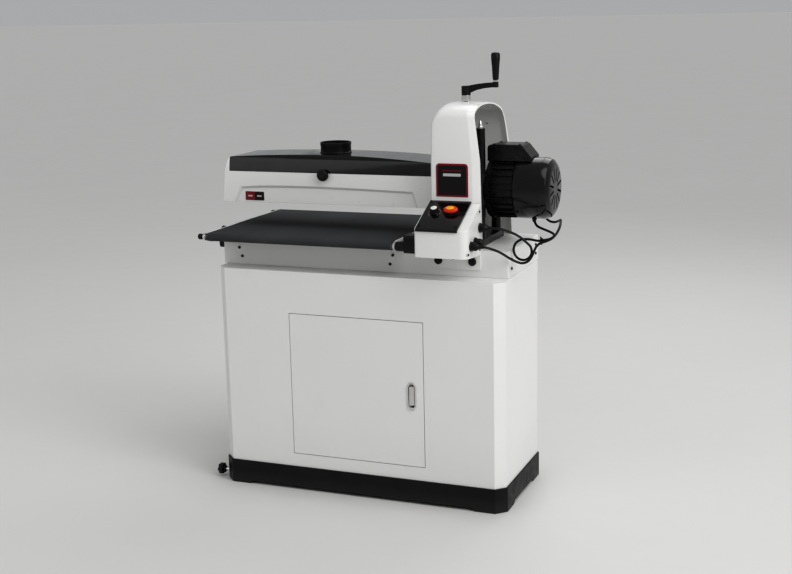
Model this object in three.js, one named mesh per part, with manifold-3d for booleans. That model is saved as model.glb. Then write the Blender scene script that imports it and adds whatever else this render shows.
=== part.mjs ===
// Open-ended drum sander on a closed cabinet stand.
// Millimetres, +Z up, X along the drum (motor on the right), Y from the operator's side to the rear.
// While it is being built, x = 0 is the middle of the cabinet, y = 0 its front face and z = 0 the floor.
import * as THREE from 'three';
import { mergeVertices } from 'three/addons/utils/BufferGeometryUtils.js';
import Module from 'manifold-3d';

const wasm = await Module();
wasm.setup();

// ---- driving dimensions ----
const GAP = 0.3;                 // clearance between neighbours that touch
const MID_Y = 245;               // centre plane of base, drum, motor and lead screw

const CABINET = { half: 494, depth: 414, top: 741, chamfer: 30, wall: 4 };
const PLINTH = { top: 80, ledge: 5, wall: 25, deck: 8, recess: 10, foot: 99 };
const DOOR = { left: -232, right: 231, bottom: 126, top: 601, gap: 2, depth: 16, skin: 2, rim: 2.4 };
const DOOR_PIVOT = { x: DOOR.left + 4.5, y: 4, r: 1.5 };
const LATCH = { x: 191, z: 360, halfWidth: 15, halfHeight: 45 };
const BASE = { left: -503, right: 488, front: 76, rear: 415, top: 825, wall: 4 };

const BELT = { left: -509, right: 141, top: 858, thickness: 2, reach: 262 };
const ROLLER_R = 10.8;           // core radius of the two conveyor rollers
const LOOP_R = 13;               // outer radius of the belt where it turns
const ROLLER_Z = BELT.top - LOOP_R;
const DRIVE_Y = MID_Y - BELT.reach;
const IDLER_Y = MID_Y + BELT.reach;

const DRUM = { left: -496, right: 139, r: 62.5, z: 1003, shaftR: 12.7, wall: 6, disc: 12 };
const WRAP = { inner: 62.8, outer: 64.5 };
const PRESSURE = { offset: 78, r: 9, z: 947, journal: 4 };

const HOOD = { left: -534, right: 232, front: 143, rear: 347, bottom: 941, split: 1043, crown: 1101 };
const HOOD_HINGE = { y: 354, z: 1043, r: 3, lug: 6.5 };
const PORT = { x: -158, outer: 50.5, inner: 47.5, neck: 44.5, rim: 51.5, base: 53, top: 1136 };

const COVER = {
  left: 235, right: 402, front: 76, rear: 414, bottom: 825, shoulder: 1107, top: 1273, wall: 5,
};
const POST = { x: 372, offset: 78, r: 15, frontTop: 1195, rearTop: 1120 };
const SCREW = { x: 300, r: 8, tip: 1066 };
const BOX = {
  left: 231, right: 401, front: -60, rear: 75.7, bottom: 822, rearBottom: 813, lip: 907, rise: 64, wall: 3.5,
};
const BRACKET = { left: 239, right: 401, bottom: 765, top: 812.5, thick: 6 };
const FEED_MOTOR = { r: 27, y: DRIVE_Y + 8, z: ROLLER_Z + 14 };
const PANEL = { left: 237, right: 371, top: 7, lipDrop: 4 };
const DIAL = { x: 272, y: 16 };
const SWITCH = { x: 325, y: 18 };
const TIE = { x0: 577.5, x1: 592 };
const KNOB = { x: -158, z: 1038 };
const GLANDS = { gland_upper: [62, 900], gland_front: [-25, 857], gland_rear: [14, 863] };
const MOTOR = { left: 402.3, cowl: 475, right: 592, r: 96.5 };
const CORD_R = 3.75;             // motor leads, 7.5 mm across

// ---- materials ----
const paint = (color, roughness, metalness = 0) =>
  new THREE.MeshStandardMaterial({ color, roughness, metalness });
const WHITE = paint(0xe9e9e7, 0.42);
const BLACK = paint(0x111113, 0.38);
const GLOSS_BLACK = paint(0x0b0b0c, 0.18);
const RUBBER = paint(0x1b1b1b, 0.8);
const BELT_GREY = paint(0x3a3b3d, 0.9);
const STEEL = paint(0x9a9c9f, 0.35, 0.9);
const CHROME = paint(0xd8dadc, 0.12, 1);
const ALUMINIUM = paint(0xc9cbcd, 0.3, 0.85);
const BRONZE = paint(0xa9793e, 0.4, 0.9);
const ABRASIVE = paint(0x7a4a32, 0.95);
const RED = paint(0xc8321c, 0.35);

// ---- shape helpers ----
function solid(geometry) {
  const bare = geometry.clone();
  bare.deleteAttribute('normal');
  bare.deleteAttribute('uv');
  const merged = mergeVertices(bare, 1e-3);
  return new wasm.Manifold(new wasm.Mesh({
    numProp: 3,
    vertProperties: new Float32Array(merged.attributes.position.array),
    triVerts: new Uint32Array(merged.index.array),
  }));
}

function geometryOf(manifold) {
  const raw = manifold.getMesh();
  const geometry = new THREE.BufferGeometry();
  geometry.setAttribute('position', new THREE.BufferAttribute(raw.vertProperties, 3));
  geometry.setIndex(new THREE.BufferAttribute(raw.triVerts, 1));
  return geometry;
}

const basis = (x, y, z) => new THREE.Matrix4().makeBasis(x, y, z);
const E = [new THREE.Vector3(1, 0, 0), new THREE.Vector3(0, 1, 0), new THREE.Vector3(0, 0, 1)];
// Extrusions run along local z; these turn that direction onto a world axis.
const ALONG = {
  x: basis(E[1], E[2], E[0]),                     // outline drawn in (y, z)
  y: basis(E[0], E[2], E[1].clone().negate()),    // outline drawn in (x, z)
  z: new THREE.Matrix4(),                         // outline drawn in (x, y)
};

function prism(axis, outline, from, to, curveSegments = 3) {
  const start = axis === 'y' ? -to : from;
  const depth = to - from;
  const geometry = new THREE.ExtrudeGeometry(outline, { depth, bevelEnabled: false, curveSegments });
  geometry.translate(0, 0, start);
  geometry.applyMatrix4(ALONG[axis]);
  return solid(geometry);
}

function box(x0, x1, y0, y1, z0, z1) {
  const geometry = new THREE.BoxGeometry(x1 - x0, y1 - y0, z1 - z0);
  geometry.translate((x0 + x1) / 2, (y0 + y1) / 2, (z0 + z1) / 2);
  return solid(geometry);
}

// A turned piece: profile is a closed list of [radius, distance along the axis].
function turned(axis, profile, centre, segments = 20) {
  const closed = [...profile, profile[0]].map(([r, d]) => new THREE.Vector2(r, d));
  const geometry = new THREE.LatheGeometry(closed, segments);
  const turn = {
    x: basis(E[1], E[0], E[2].clone().negate()),
    y: new THREE.Matrix4(),
    z: basis(E[0], E[2], E[1].clone().negate()),
  }[axis];
  geometry.applyMatrix4(turn);
  geometry.translate(...centre);
  return solid(geometry);
}

const rod = (axis, r, from, to, centre, segments = 16) =>
  turned(axis, [[0, from], [r, from], [r, to], [0, to]], centre, segments);
const ring = (axis, inner, outer, from, to, centre, segments = 20) =>
  turned(axis, [[inner, from], [outer, from], [outer, to], [inner, to]], centre, segments);

function polygon(points) {
  return new THREE.Shape(points.map(([u, v]) => new THREE.Vector2(u, v)));
}

function chamferedRect(x0, x1, y0, y1, c) {
  return polygon([[x0 + c, y0], [x1 - c, y0], [x1, y0 + c], [x1, y1 - c],
    [x1 - c, y1], [x0 + c, y1], [x0, y1 - c], [x0, y0 + c]]);
}

function roundedRect(x0, x1, y0, y1, r) {
  const shape = new THREE.Shape();
  shape.absarc(x1 - r, y0 + r, r, -Math.PI / 2, 0);
  shape.absarc(x1 - r, y1 - r, r, 0, Math.PI / 2);
  shape.absarc(x0 + r, y1 - r, r, Math.PI / 2, Math.PI);
  shape.absarc(x0 + r, y0 + r, r, Math.PI, 1.5 * Math.PI);
  return shape;
}

function stadium(u0, u1, v, r) {
  const shape = new THREE.Shape();
  shape.absarc(u1, v, r, -Math.PI / 2, Math.PI / 2);
  shape.absarc(u0, v, r, Math.PI / 2, 1.5 * Math.PI);
  return shape;
}

// A solid through closed rings of equal length. Each ring lies in a plane of constant x and runs
// anticlockwise in (y, z).
function loft(rings) {
  const count = rings[0].length;
  const positions = rings.flat().flatMap((p) => [p.x, p.y, p.z]);
  const index = [];
  for (let k = 0; k + 1 < rings.length; k++) {
    for (let i = 0; i < count; i++) {
      const a = k * count + i;
      const b = k * count + (i + 1) % count;
      index.push(a, b, b + count, a, b + count, a + count);
    }
  }
  const cap = (ring, offset, facing) => {
    const flat = ring.map((p) => new THREE.Vector2(p.y, p.z));
    for (const [a, b, c] of THREE.ShapeUtils.triangulateShape(flat, [])) {
      const turn = THREE.ShapeUtils.area([flat[a], flat[b], flat[c]]) * facing;
      index.push(...(turn > 0 ? [a, b, c] : [a, c, b]).map((i) => i + offset));
    }
  };
  cap(rings[0], 0, -1);
  cap(rings[rings.length - 1], (rings.length - 1) * count, 1);
  const geometry = new THREE.BufferGeometry();
  geometry.setAttribute('position', new THREE.Float32BufferAttribute(positions, 3));
  geometry.setIndex(index);
  return solid(geometry);
}

function tube(points, r, steps, sides = 8) {
  const curve = new THREE.CatmullRomCurve3(points.map((p) => new THREE.Vector3(...p)), false, 'centripetal');
  const section = new THREE.Shape();
  section.absarc(0, 0, r, 0, 2 * Math.PI);
  const curveSegments = sides / 2;
  const geometry = new THREE.ExtrudeGeometry(section, { steps, extrudePath: curve, curveSegments });
  return solid(geometry);
}

// ---- the assembly ----
const machine = new THREE.Group();
const cords = [];

function add(name, shape, material) {
  const mesh = new THREE.Mesh(geometryOf(shape), material);
  mesh.name = name;
  machine.add(mesh);
  return mesh;
}

function addCord(name, shape, material) {
  cords.push(add(name, shape, material));
}

function buildPlinth() {
  const { half, depth, chamfer } = CABINET;
  const { top, ledge, wall, deck, recess, foot } = PLINTH;
  const [x, y0, y1] = [half + ledge, -ledge, depth + ledge];
  const stud = { y: 33, z: 27 };
  let body = prism('z', chamferedRect(-x, x, y0, y1, chamfer + 2), 0, top);
  const hollow = chamferedRect(-x + wall, x - wall, y0 + wall, y1 - wall, chamfer);
  body = body.subtract(prism('z', hollow, -1, top - deck));
  const arch = (a, b) => polygon([[a, -1], [a + recess + 2, recess], [b - recess - 2, recess], [b, -1]]);
  body = body.subtract(prism('y', arch(-x + foot, x - foot), y0 - 1, y1 + 1));
  body = body.subtract(prism('x', arch(y0 + foot, y1 - foot), -x - 1, x + 1));
  body = body.subtract(rod('x', 5.3, -x - 1, -x + wall + 25, [0, stud.y, stud.z], 16));
  add('plinth', body, BLACK);

  const lobes = new THREE.Shape();
  for (let i = 0; i < 42; i++) {
    const angle = (i / 42) * 2 * Math.PI;
    const r = 17.2 + 1.8 * Math.cos(6 * angle);
    const point = [r * Math.cos(angle) + stud.y, r * Math.sin(angle) + stud.z];
    if (i === 0) {
      lobes.moveTo(...point);
    } else {
      lobes.lineTo(...point);
    }
  }
  const knob = prism('x', lobes, -x - 38, -x - 22)
    .add(rod('x', 10, -x - 23, -x - 14, [0, stud.y, stud.z], 20))
    .add(rod('x', 5, -x - 15, -x + wall + 12, [0, stud.y, stud.z], 16));
  add('levelling_knob', knob, BLACK);
}

function buildCabinet() {
  const { half, depth, top, chamfer, wall } = CABINET;
  const { left, right, bottom, gap, skin, rim } = DOOR;
  const [x0, x1, z0, z1] = [left - gap, right + gap, bottom - gap, DOOR.top + gap];
  const flange = 3;
  let shell = prism('z', chamferedRect(-half, half, 0, depth, chamfer), PLINTH.top, top);
  shell = shell.subtract(prism('z', chamferedRect(-half + wall, half - wall, wall, depth - wall, chamfer - 2),
    PLINTH.top - 1, top - wall));
  shell = shell.add(box(x0 - flange, x1 + flange, 1, DOOR.depth - 2, z0 - flange, z1 + flange));
  shell = shell.subtract(box(x0, x1, -1, DOOR.depth, z0, z1));
  const pivot = (r, a, b) => rod('z', r, a, b, [DOOR_PIVOT.x, DOOR_PIVOT.y, 0], 12);
  const bores = pivot(DOOR_PIVOT.r + GAP, z0 - 12, bottom + 4)
    .add(pivot(DOOR_PIVOT.r + GAP, DOOR.top - 4, z1 + 12));
  add('cabinet_shell', shell.subtract(bores), WHITE);

  const door = box(left, right, 0, DOOR.depth, bottom, DOOR.top)
    .subtract(box(left + rim, right - rim, skin, DOOR.depth + 1, bottom + rim, DOOR.top - rim))
    .subtract(box(LATCH.x - 12.3, LATCH.x + 12.3, -1, skin + 1, LATCH.z - 38.3, LATCH.z + 38.3));
  add('cabinet_door', door.subtract(bores), WHITE);
  add('door_hinge_rod', pivot(DOOR_PIVOT.r, z0 - flange - 5, z1 + flange + 5), STEEL);
}

function buildLatch() {
  const { x, z, halfWidth: w, halfHeight: h } = LATCH;
  const octagon = (inset) => {
    const [a, b, c] = [w - inset, h - inset, h - 13 - inset * 0.3];
    return polygon([[x - a, z - c], [x - a * 0.45, z - b], [x + a * 0.45, z - b], [x + a, z - c],
      [x + a, z + c], [x + a * 0.45, z + b], [x - a * 0.45, z + b], [x - a, z + c]]);
  };
  const pin = { y: 5, z: z + 29 };
  const axle = (r, half) => rod('x', r, x - half, x + half, [0, pin.y, pin.z], 12);
  const housing = prism('y', octagon(0), -3, -GAP)
    .add(box(x - 12, x + 12, -1, 20, z - 38, z + 38))
    .subtract(prism('y', octagon(4.5), -4, 17))
    .subtract(axle(2.2, 13));
  add('latch_housing', housing, CHROME);
  const lever = box(x - 8.4, x + 8.4, -1.5, 2, z - 30, pin.z + 2)
    .add(rod('x', 4, x - 8.4, x + 8.4, [0, pin.y, pin.z], 16))
    .add(axle(1.9, 11.8));
  add('latch_lever', lever, ALUMINIUM);
}

function buildBase() {
  const { left, right, front, rear, top, wall } = BASE;
  const foot = CABINET.top;
  const frame = box(left, right, front, rear, foot, top)
    .subtract(box(left + wall, right - wall, front + wall, rear - wall, foot - 1, top - wall));
  add('base_frame', frame, WHITE);
  const bracket = box(BRACKET.left, BRACKET.right, front - BRACKET.thick, front, BRACKET.bottom, BRACKET.top);
  add('box_bracket', bracket, WHITE);
}

function buildConveyor() {
  const { left, right, thickness } = BELT;
  const outline = stadium(DRIVE_Y, IDLER_Y, ROLLER_Z, LOOP_R);
  outline.holes.push(stadium(DRIVE_Y, IDLER_Y, ROLLER_Z, LOOP_R - thickness));
  add('conveyor_belt', prism('x', outline, left, right, 16), BELT_GREY);

  const rail = { inner: 2, outer: 6, front: DRIVE_Y + 22, rear: IDLER_Y - 22 };
  const inside = LOOP_R - thickness - GAP;
  let bed = box(left - rail.outer, right + rail.outer, rail.front, rail.rear,
    ROLLER_Z - inside, ROLLER_Z + inside);
  for (const [a, b] of [[left - rail.outer, left - rail.inner], [right + rail.inner, right + rail.outer]]) {
    bed = bed.add(box(a, b, rail.front, rail.rear, BASE.top, BELT.top));
  }
  add('conveyor_bed', bed, WHITE);

  const journal = 6;
  const rollerAt = (y, rightEnd) => rod('x', ROLLER_R - 0.1, left + 2, right - 2, [0, y, ROLLER_Z], 32)
    .add(rod('x', journal, left - 14, rightEnd, [0, y, ROLLER_Z], 16));
  add('drive_roller', rollerAt(DRIVE_Y, right + 28), STEEL);
  add('idler_roller', rollerAt(IDLER_Y, right + 14), STEEL);
  const bracketAt = (y, x0, x1) => {
    const inward = Math.sign(MID_Y - y);
    const [a, b] = [y, y + inward * 74].sort((p, q) => p - q);
    return rod('x', LOOP_R - 1, x0, x1, [0, y, ROLLER_Z], 24)
      .add(box(x0, x1, a, b, ROLLER_Z - 8, ROLLER_Z + 8))
      .subtract(rod('x', journal + GAP, x0 - 1, x1 + 1, [0, y, ROLLER_Z], 16));
  };
  for (const [end, y] of [['front', DRIVE_Y], ['rear', IDLER_Y]]) {
    const outer = left - rail.outer - GAP;
    const inner = right + rail.outer + GAP;
    add(`roller_bracket_left_${end}`, bracketAt(y, outer - 8, outer), ALUMINIUM);
    add(`roller_bracket_right_${end}`, bracketAt(y, inner, inner + 7), ALUMINIUM);
  }
}

function buildFeedDrive() {
  const centre = [0, DRIVE_Y, ROLLER_Z];
  const coupling = ring('x', 6.5, 15, 157, 186, centre);
  add('feed_coupling', coupling, BLACK);
  const gearmotor = prism('x', roundedRect(DRIVE_Y - 26, DRIVE_Y + 34, ROLLER_Z - 17, ROLLER_Z + 39, 8), 190,
    BOX.left - GAP, 3)
    .add(rod('x', 5.7, 171, 192, centre, 16))
    .add(rod('x', FEED_MOTOR.r, BOX.left - 2, BOX.left + 105, [0, FEED_MOTOR.y, FEED_MOTOR.z], 20));
  add('feed_gearmotor', gearmotor, BLACK);
}

function buildTableLever() {
  const face = BASE.left - GAP;
  const pivot = { y: 92, z: 806 };
  const grip = { y: 152, z: 845 };
  const [dy, dz] = [grip.y - pivot.y, grip.z - pivot.z];
  const length = Math.hypot(dy, dz);
  const [ny, nz] = [-dz / length * 6, dy / length * 6];
  const bar = polygon([[pivot.y + ny, pivot.z + nz], [pivot.y - ny, pivot.z - nz],
    [grip.y - ny, grip.z - nz], [grip.y + ny, grip.z + nz]]);
  const arm = prism('x', bar, face - 18, face - 12)
    .add(rod('x', 14, face - 18, face, [0, pivot.y, pivot.z], 24))
    .add(turned('x', [[0, face - 46], [7, face - 46], [9, face - 42], [6, face - 20], [7, face - 12],
      [0, face - 12]], [0, grip.y, grip.z], 20));
  add('table_lever', arm, BLACK);
}

// ---- control box ----
const panelSlope = Math.atan2(BOX.rise, BOX.rear - BOX.front);

// Turned about the normal of the sloping panel, at the point above (x, y); d = 0 is the panel's face.
function turnedOnPanel(profile, x, y, stretch = 1) {
  const closed = [...profile, profile[0]].map(([r, d]) => new THREE.Vector2(r, d));
  const geometry = new THREE.LatheGeometry(closed, 16);
  geometry.applyMatrix4(basis(E[0], E[2], E[1].clone().negate()));
  geometry.scale(stretch, 1, 1);
  geometry.rotateX(panelSlope);
  const z = BOX.lip + PANEL.top + GAP + (y - BOX.front) * Math.tan(panelSlope);
  geometry.translate(x, y, z);
  return solid(geometry);
}

function boxSolid(inset, rear) {
  const [y0, z0] = [BOX.front + inset, BOX.bottom + inset];
  const top = (y) => BOX.lip - inset * 1.1 + (y - BOX.front) * Math.tan(panelSlope);
  const side = polygon([[rear, BOX.rearBottom + inset], [rear, top(rear)], [y0, top(y0)], [y0, z0]]);
  const [x0, x1] = [BOX.left + inset, BOX.right - inset];
  const [small, large] = [8 - inset, 26 - inset];
  const plan = new THREE.Shape();
  plan.moveTo(x1, rear + 1);
  plan.lineTo(x0, rear + 1);
  plan.absarc(x0 + small, y0 + small, small, Math.PI, 1.5 * Math.PI);
  plan.absarc(x1 - large, y0 + large, large, 1.5 * Math.PI, 2 * Math.PI);
  return prism('x', side, x0, x1).intersect(prism('z', plan, BOX.rearBottom - 5, BOX.lip + 90));
}

function buildControlBox() {
  let shell = boxSolid(0, BOX.rear).subtract(boxSolid(BOX.wall, BOX.rear + 5));
  shell = shell.subtract(rod('x', FEED_MOTOR.r + GAP, BOX.left - 1, BOX.left + 10,
    [0, FEED_MOTOR.y, FEED_MOTOR.z], 20));
  const stems = turnedOnPanel([[0, -20], [6.5, -20], [6.5, 6], [0, 6]], SWITCH.x, SWITCH.y)
    .add(turnedOnPanel([[0, -20], [4.5, -20], [4.5, 6], [0, 6]], DIAL.x, DIAL.y));
  for (const [name, [y, z]] of Object.entries(GLANDS)) {
    shell = shell.subtract(rod('x', 9.5, BOX.right - 10, BOX.right + 1, [0, y, z], 16));
    const gland = turned('x', [[0, -7], [9, -7], [9, GAP], [14, GAP], [14, 11], [12, 12.5], [12, 20], [7, 28],
      [0, 28]], [BOX.right, y, z], 16);
    add(name, gland, BLACK);
  }
  add('control_box', shell.subtract(stems), WHITE);

  const under = (y) => BOX.lip + GAP + (y - BOX.front) * Math.tan(panelSlope);
  const lip = BOX.front - GAP;
  const plate = polygon([[lip, BOX.lip - PANEL.lipDrop], [lip, under(lip)], [BOX.rear - GAP, under(BOX.rear)],
    [BOX.rear - GAP, under(BOX.rear) + PANEL.top], [lip + 2, under(lip) + PANEL.top],
    [lip - 4, under(lip) + PANEL.top - 4], [lip - 4, BOX.lip - PANEL.lipDrop]]);
  add('control_panel', prism('x', plate, PANEL.left, PANEL.right).subtract(stems), GLOSS_BLACK);

  const knob = [[0, -16], [4, -16], [4, GAP], [15, GAP], [15, 4], [12.5, 5], [11.5, 17], [10, 18], [0, 18]];
  add('speed_knob', turnedOnPanel(knob, DIAL.x, DIAL.y), BLACK);
  const oval = [[0, 6], [14, 6], [16, 9], [16, 14], [13, 18], [0, 19]];
  const paddle = turnedOnPanel(oval, SWITCH.x, SWITCH.y, 1.45)
    .add(turnedOnPanel([[0, -16], [6, -16], [6, 7], [0, 7]], SWITCH.x, SWITCH.y));
  add('stop_paddle', paddle, RED);
}

// ---- column ----
// The cover's outline in (y, z), drawn in by insetY at the sides and lowered by drop at the top.
// It is boxy at the front and falls away more gently towards the rear.
function archOutline(insetY, drop, floor) {
  const { front, rear, shoulder, top } = COVER;
  const [near, far] = [front + insetY, rear - insetY];
  const crest = top - drop;
  const shape = new THREE.Shape();
  shape.moveTo(near, floor);
  shape.lineTo(near, shoulder - drop * 0.4);
  shape.lineTo(near + 2, crest - 38);
  shape.quadraticCurveTo(near + 3, crest - 24, near + 15, crest - 18);
  shape.bezierCurveTo(near + 44, crest - 5, near + 80, crest, near + 118, crest);
  shape.bezierCurveTo(near + 190, crest, far - 78, crest - 9, far - 36, crest - 28);
  shape.bezierCurveTo(far - 24, crest - 37, far - 14, crest - 56, far - 9, crest - 84);
  shape.lineTo(far, shoulder - drop * 0.4);
  shape.lineTo(far, floor);
  return shape.getPoints(5).reverse();
}

// Both ends of the cover lean inwards, a little up to the shoulder and more above it.
function coverRing(x, insetY, drop, floor) {
  const { left, right, bottom, shoulder, top } = COVER;
  const { lerp, clamp } = THREE.MathUtils;
  return archOutline(insetY, drop, floor).map((p) => {
    const lower = clamp((p.y - bottom) / (shoulder - bottom), 0, 1);
    const upper = clamp((p.y - shoulder) / (top - shoulder), 0, 1);
    const [x0, x1] = [left + 2.5 * lower + 6 * upper, right - 6 * lower - 22 * upper];
    return new THREE.Vector3(lerp(x0, x1, (x - left) / (right - left)), p.x, p.y);
  });
}

function coverSolid(wall, floor, end) {
  const { left, right } = COVER;
  const [round, edge, lip] = [40 - wall, 8, 28];
  const rings = [];
  for (let i = 0; i <= 6; i++) {
    const angle = (i / 6) * Math.PI / 2;
    const t = round * (1 - Math.cos(angle));
    const side = t < edge ? edge - Math.sqrt(edge * edge - (edge - t) ** 2) : 0;
    rings.push(coverRing(left + wall + t, wall + side, wall + round * (1 - Math.sin(angle)), floor));
  }
  for (const [t, inset] of [[0, 0], [0.1, 0.3], [0.2, 1], [1, 9]]) {
    rings.push(coverRing(right - lip + t * lip, wall + inset, wall + 2 * t, floor));
  }
  if (end > right) {
    rings.push(coverRing(end, wall + 9, wall + 2, floor));
  }
  return loft(rings);
}

function buildColumn() {
  const { bottom, wall } = COVER;
  const cover = coverSolid(0, bottom, COVER.right)
    .subtract(coverSolid(wall, bottom - 5, COVER.right + 4))
    .subtract(box(COVER.left - 5, COVER.left + 20, MID_Y - 47, MID_Y + 47, 878, 1070))
    .subtract(rod('z', SCREW.r + 1, COVER.top - 20, COVER.top + 5, [SCREW.x, MID_Y, 0], 20));
  add('column_cover', cover, WHITE);

  const foot = box(262, POST.x + POST.r, 130, 360, bottom, bottom + 23);
  const column = foot
    .add(rod('z', POST.r, bottom + 20, POST.frontTop, [POST.x, MID_Y - POST.offset, 0], 16))
    .add(rod('z', POST.r, bottom + 20, POST.rearTop, [POST.x, MID_Y + POST.offset, 0], 16));
  add('guide_column', column, BLACK);
}

function buildCrank() {
  const at = [SCREW.x, MID_Y, 0];
  const screw = rod('z', SCREW.r, SCREW.tip, 1312, at, 20)
    .add(rod('z', 15, COVER.top - 22, COVER.top - 9, at, 24));
  add('lead_screw', screw, STEEL);
  add('screw_collar', ring('z', SCREW.r + 0.5, 14.6, COVER.top + GAP, 1291.5, at), CHROME);

  const grip = { x: SCREW.x + 98, z: 1339.3 };
  const arm = new THREE.Shape();
  arm.moveTo(SCREW.x - 13, 1300);
  arm.lineTo(SCREW.x + 13, 1298);
  arm.quadraticCurveTo(SCREW.x + 40, 1314, grip.x, 1317);
  arm.lineTo(grip.x, 1332);
  arm.quadraticCurveTo(SCREW.x + 40, 1329, SCREW.x + 8, 1321);
  arm.lineTo(SCREW.x - 13, 1320);
  const crank = prism('y', arm, MID_Y - 7, MID_Y + 7)
    .add(rod('z', 14.5, 1292, 1319, at, 24))
    .add(rod('z', 9, 1316, 1333, [grip.x, MID_Y, 0], 20))
    .add(rod('z', 3.8, 1330, 1353, [grip.x, MID_Y, 0], 12))
    .subtract(rod('z', SCREW.r + GAP, 1290, 1312.5, at, 20));
  add('crank_arm', crank, BLACK);
  const profile = [[4.2, 0], [8.5, 0], [9.5, 3], [11.5, 38], [14, 66], [14.2, 78], [11, 84], [0, 85], [0, 16],
    [4.2, 16]];
  add('crank_grip', turned('z', profile, [grip.x, MID_Y, grip.z], 16), BLACK);
}

// ---- head: carriage, hood, drum and motor ----
const onAxis = [0, MID_Y, DRUM.z];

function buildCarriage() {
  const nose = { r: 40, left: 150 };
  const disc = { r: 97, x: 388.5, end: MOTOR.left - GAP };
  let body = rod('x', nose.r, nose.left, disc.x + 1, onAxis, 24)
    .add(rod('x', disc.r, disc.x, disc.end, onAxis, 28))
    .add(box(350, disc.x, MID_Y - POST.offset, MID_Y + POST.offset, 960, 1050));
  for (const side of [-1, 1]) {
    body = body.add(rod('z', 20, 955, 1055, [POST.x, MID_Y + side * POST.offset, 0], 20));
  }
  for (const side of [-1, 1]) {
    body = body.subtract(rod('z', POST.r + 0.7, 950, 1060, [POST.x, MID_Y + side * POST.offset, 0], 16));
  }
  body = body
    .subtract(rod('x', 26.6, nose.left - 1, 168.3, onAxis, 20))
    .subtract(rod('x', 16, 160, 310, onAxis, 16))
    .subtract(rod('x', 31, 308, disc.end + 1, onAxis, 20));
  add('carriage', body, BLACK);

  const yoke = { left: 285, right: 350 - GAP, foot: DRUM.z + 2, top: 1140 };
  let bracket = box(278, yoke.right, MID_Y - 40, MID_Y + 40, yoke.top, yoke.top + 28);
  for (const side of [-1, 1]) {
    const [a, b] = [MID_Y + side * 28, MID_Y + side * 38].sort((p, q) => p - q);
    bracket = bracket.add(box(yoke.left, yoke.right, a, b, yoke.foot, yoke.top + 1));
  }
  bracket = bracket
    .subtract(rod('x', nose.r + GAP, yoke.left - 1, yoke.right + 1, onAxis, 24))
    .subtract(rod('z', 15.6, yoke.top - 1, yoke.top + 29, [SCREW.x, MID_Y, 0], 16));
  add('nut_bracket', bracket, BLACK);
  add('bearing_inboard', ring('x', 13, 26, 152, 168, onAxis), STEEL);
  const nut = turned('z', [[SCREW.r + 0.4, 1132], [15, 1132], [15, 1168 + GAP], [22, 1168 + GAP], [22, 1174],
    [SCREW.r + 0.4, 1174]], [SCREW.x, MID_Y, 0], 16);
  add('lead_nut', nut, BRONZE);
}

function hoodHull(inset) {
  const { left, right, front, rear, bottom, split, crown } = HOOD;
  const face = new THREE.Shape();
  face.moveTo(left + inset, bottom + inset);
  face.lineTo(right - inset, bottom + inset);
  face.lineTo(right - inset, crown - 18 - inset);
  face.quadraticCurveTo(30, crown - inset, -150, crown - inset);
  face.quadraticCurveTo(-340, crown - inset, -500 + inset, crown - 10 - inset);
  face.quadraticCurveTo(-512 + inset, crown - 12 - inset, -515 + inset, crown - 24 - inset);
  face.lineTo(left + 10 + inset, split);
  const [y0, y1, top] = [front + inset, rear - inset, crown + 3 - inset];
  const side = new THREE.Shape();
  side.moveTo(y0, bottom - 1);
  side.lineTo(y0, split);
  side.lineTo(y0 + 4, crown - 26);
  side.quadraticCurveTo(y0 + 7, top - 4, y0 + 28, top);
  side.lineTo(y1 - 28, top);
  side.quadraticCurveTo(y1 - 7, top - 4, y1 - 4, crown - 26);
  side.lineTo(y1, split);
  side.lineTo(y1, bottom - 1);
  return prism('y', face, front - 5, rear + 5, 6).intersect(prism('x', side, left - 5, right + 5, 4));
}

function recessTool() {
  const outline = new THREE.Shape();
  outline.moveTo(-491, HOOD.bottom - 14);
  outline.lineTo(-461, 984);
  outline.quadraticCurveTo(-300, 999, 147, 984);
  outline.lineTo(166, HOOD.bottom - 14);
  const geometry = new THREE.ExtrudeGeometry(outline, {
    depth: 10, bevelEnabled: true, bevelThickness: 6, bevelSize: 8, bevelSegments: 1, curveSegments: 10,
  });
  geometry.translate(0, 0, -HOOD.front);
  geometry.applyMatrix4(ALONG.y);
  return solid(geometry);
}

function hingeLugs(spans, toZ) {
  const { y, z, lug } = HOOD_HINGE;
  return spans.map(([a, b]) => rod('x', lug, a, b, [0, y, z], 16)
    .add(box(a, b, HOOD.rear - 3, y, Math.min(z, toZ), Math.max(z, toZ))));
}

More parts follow.
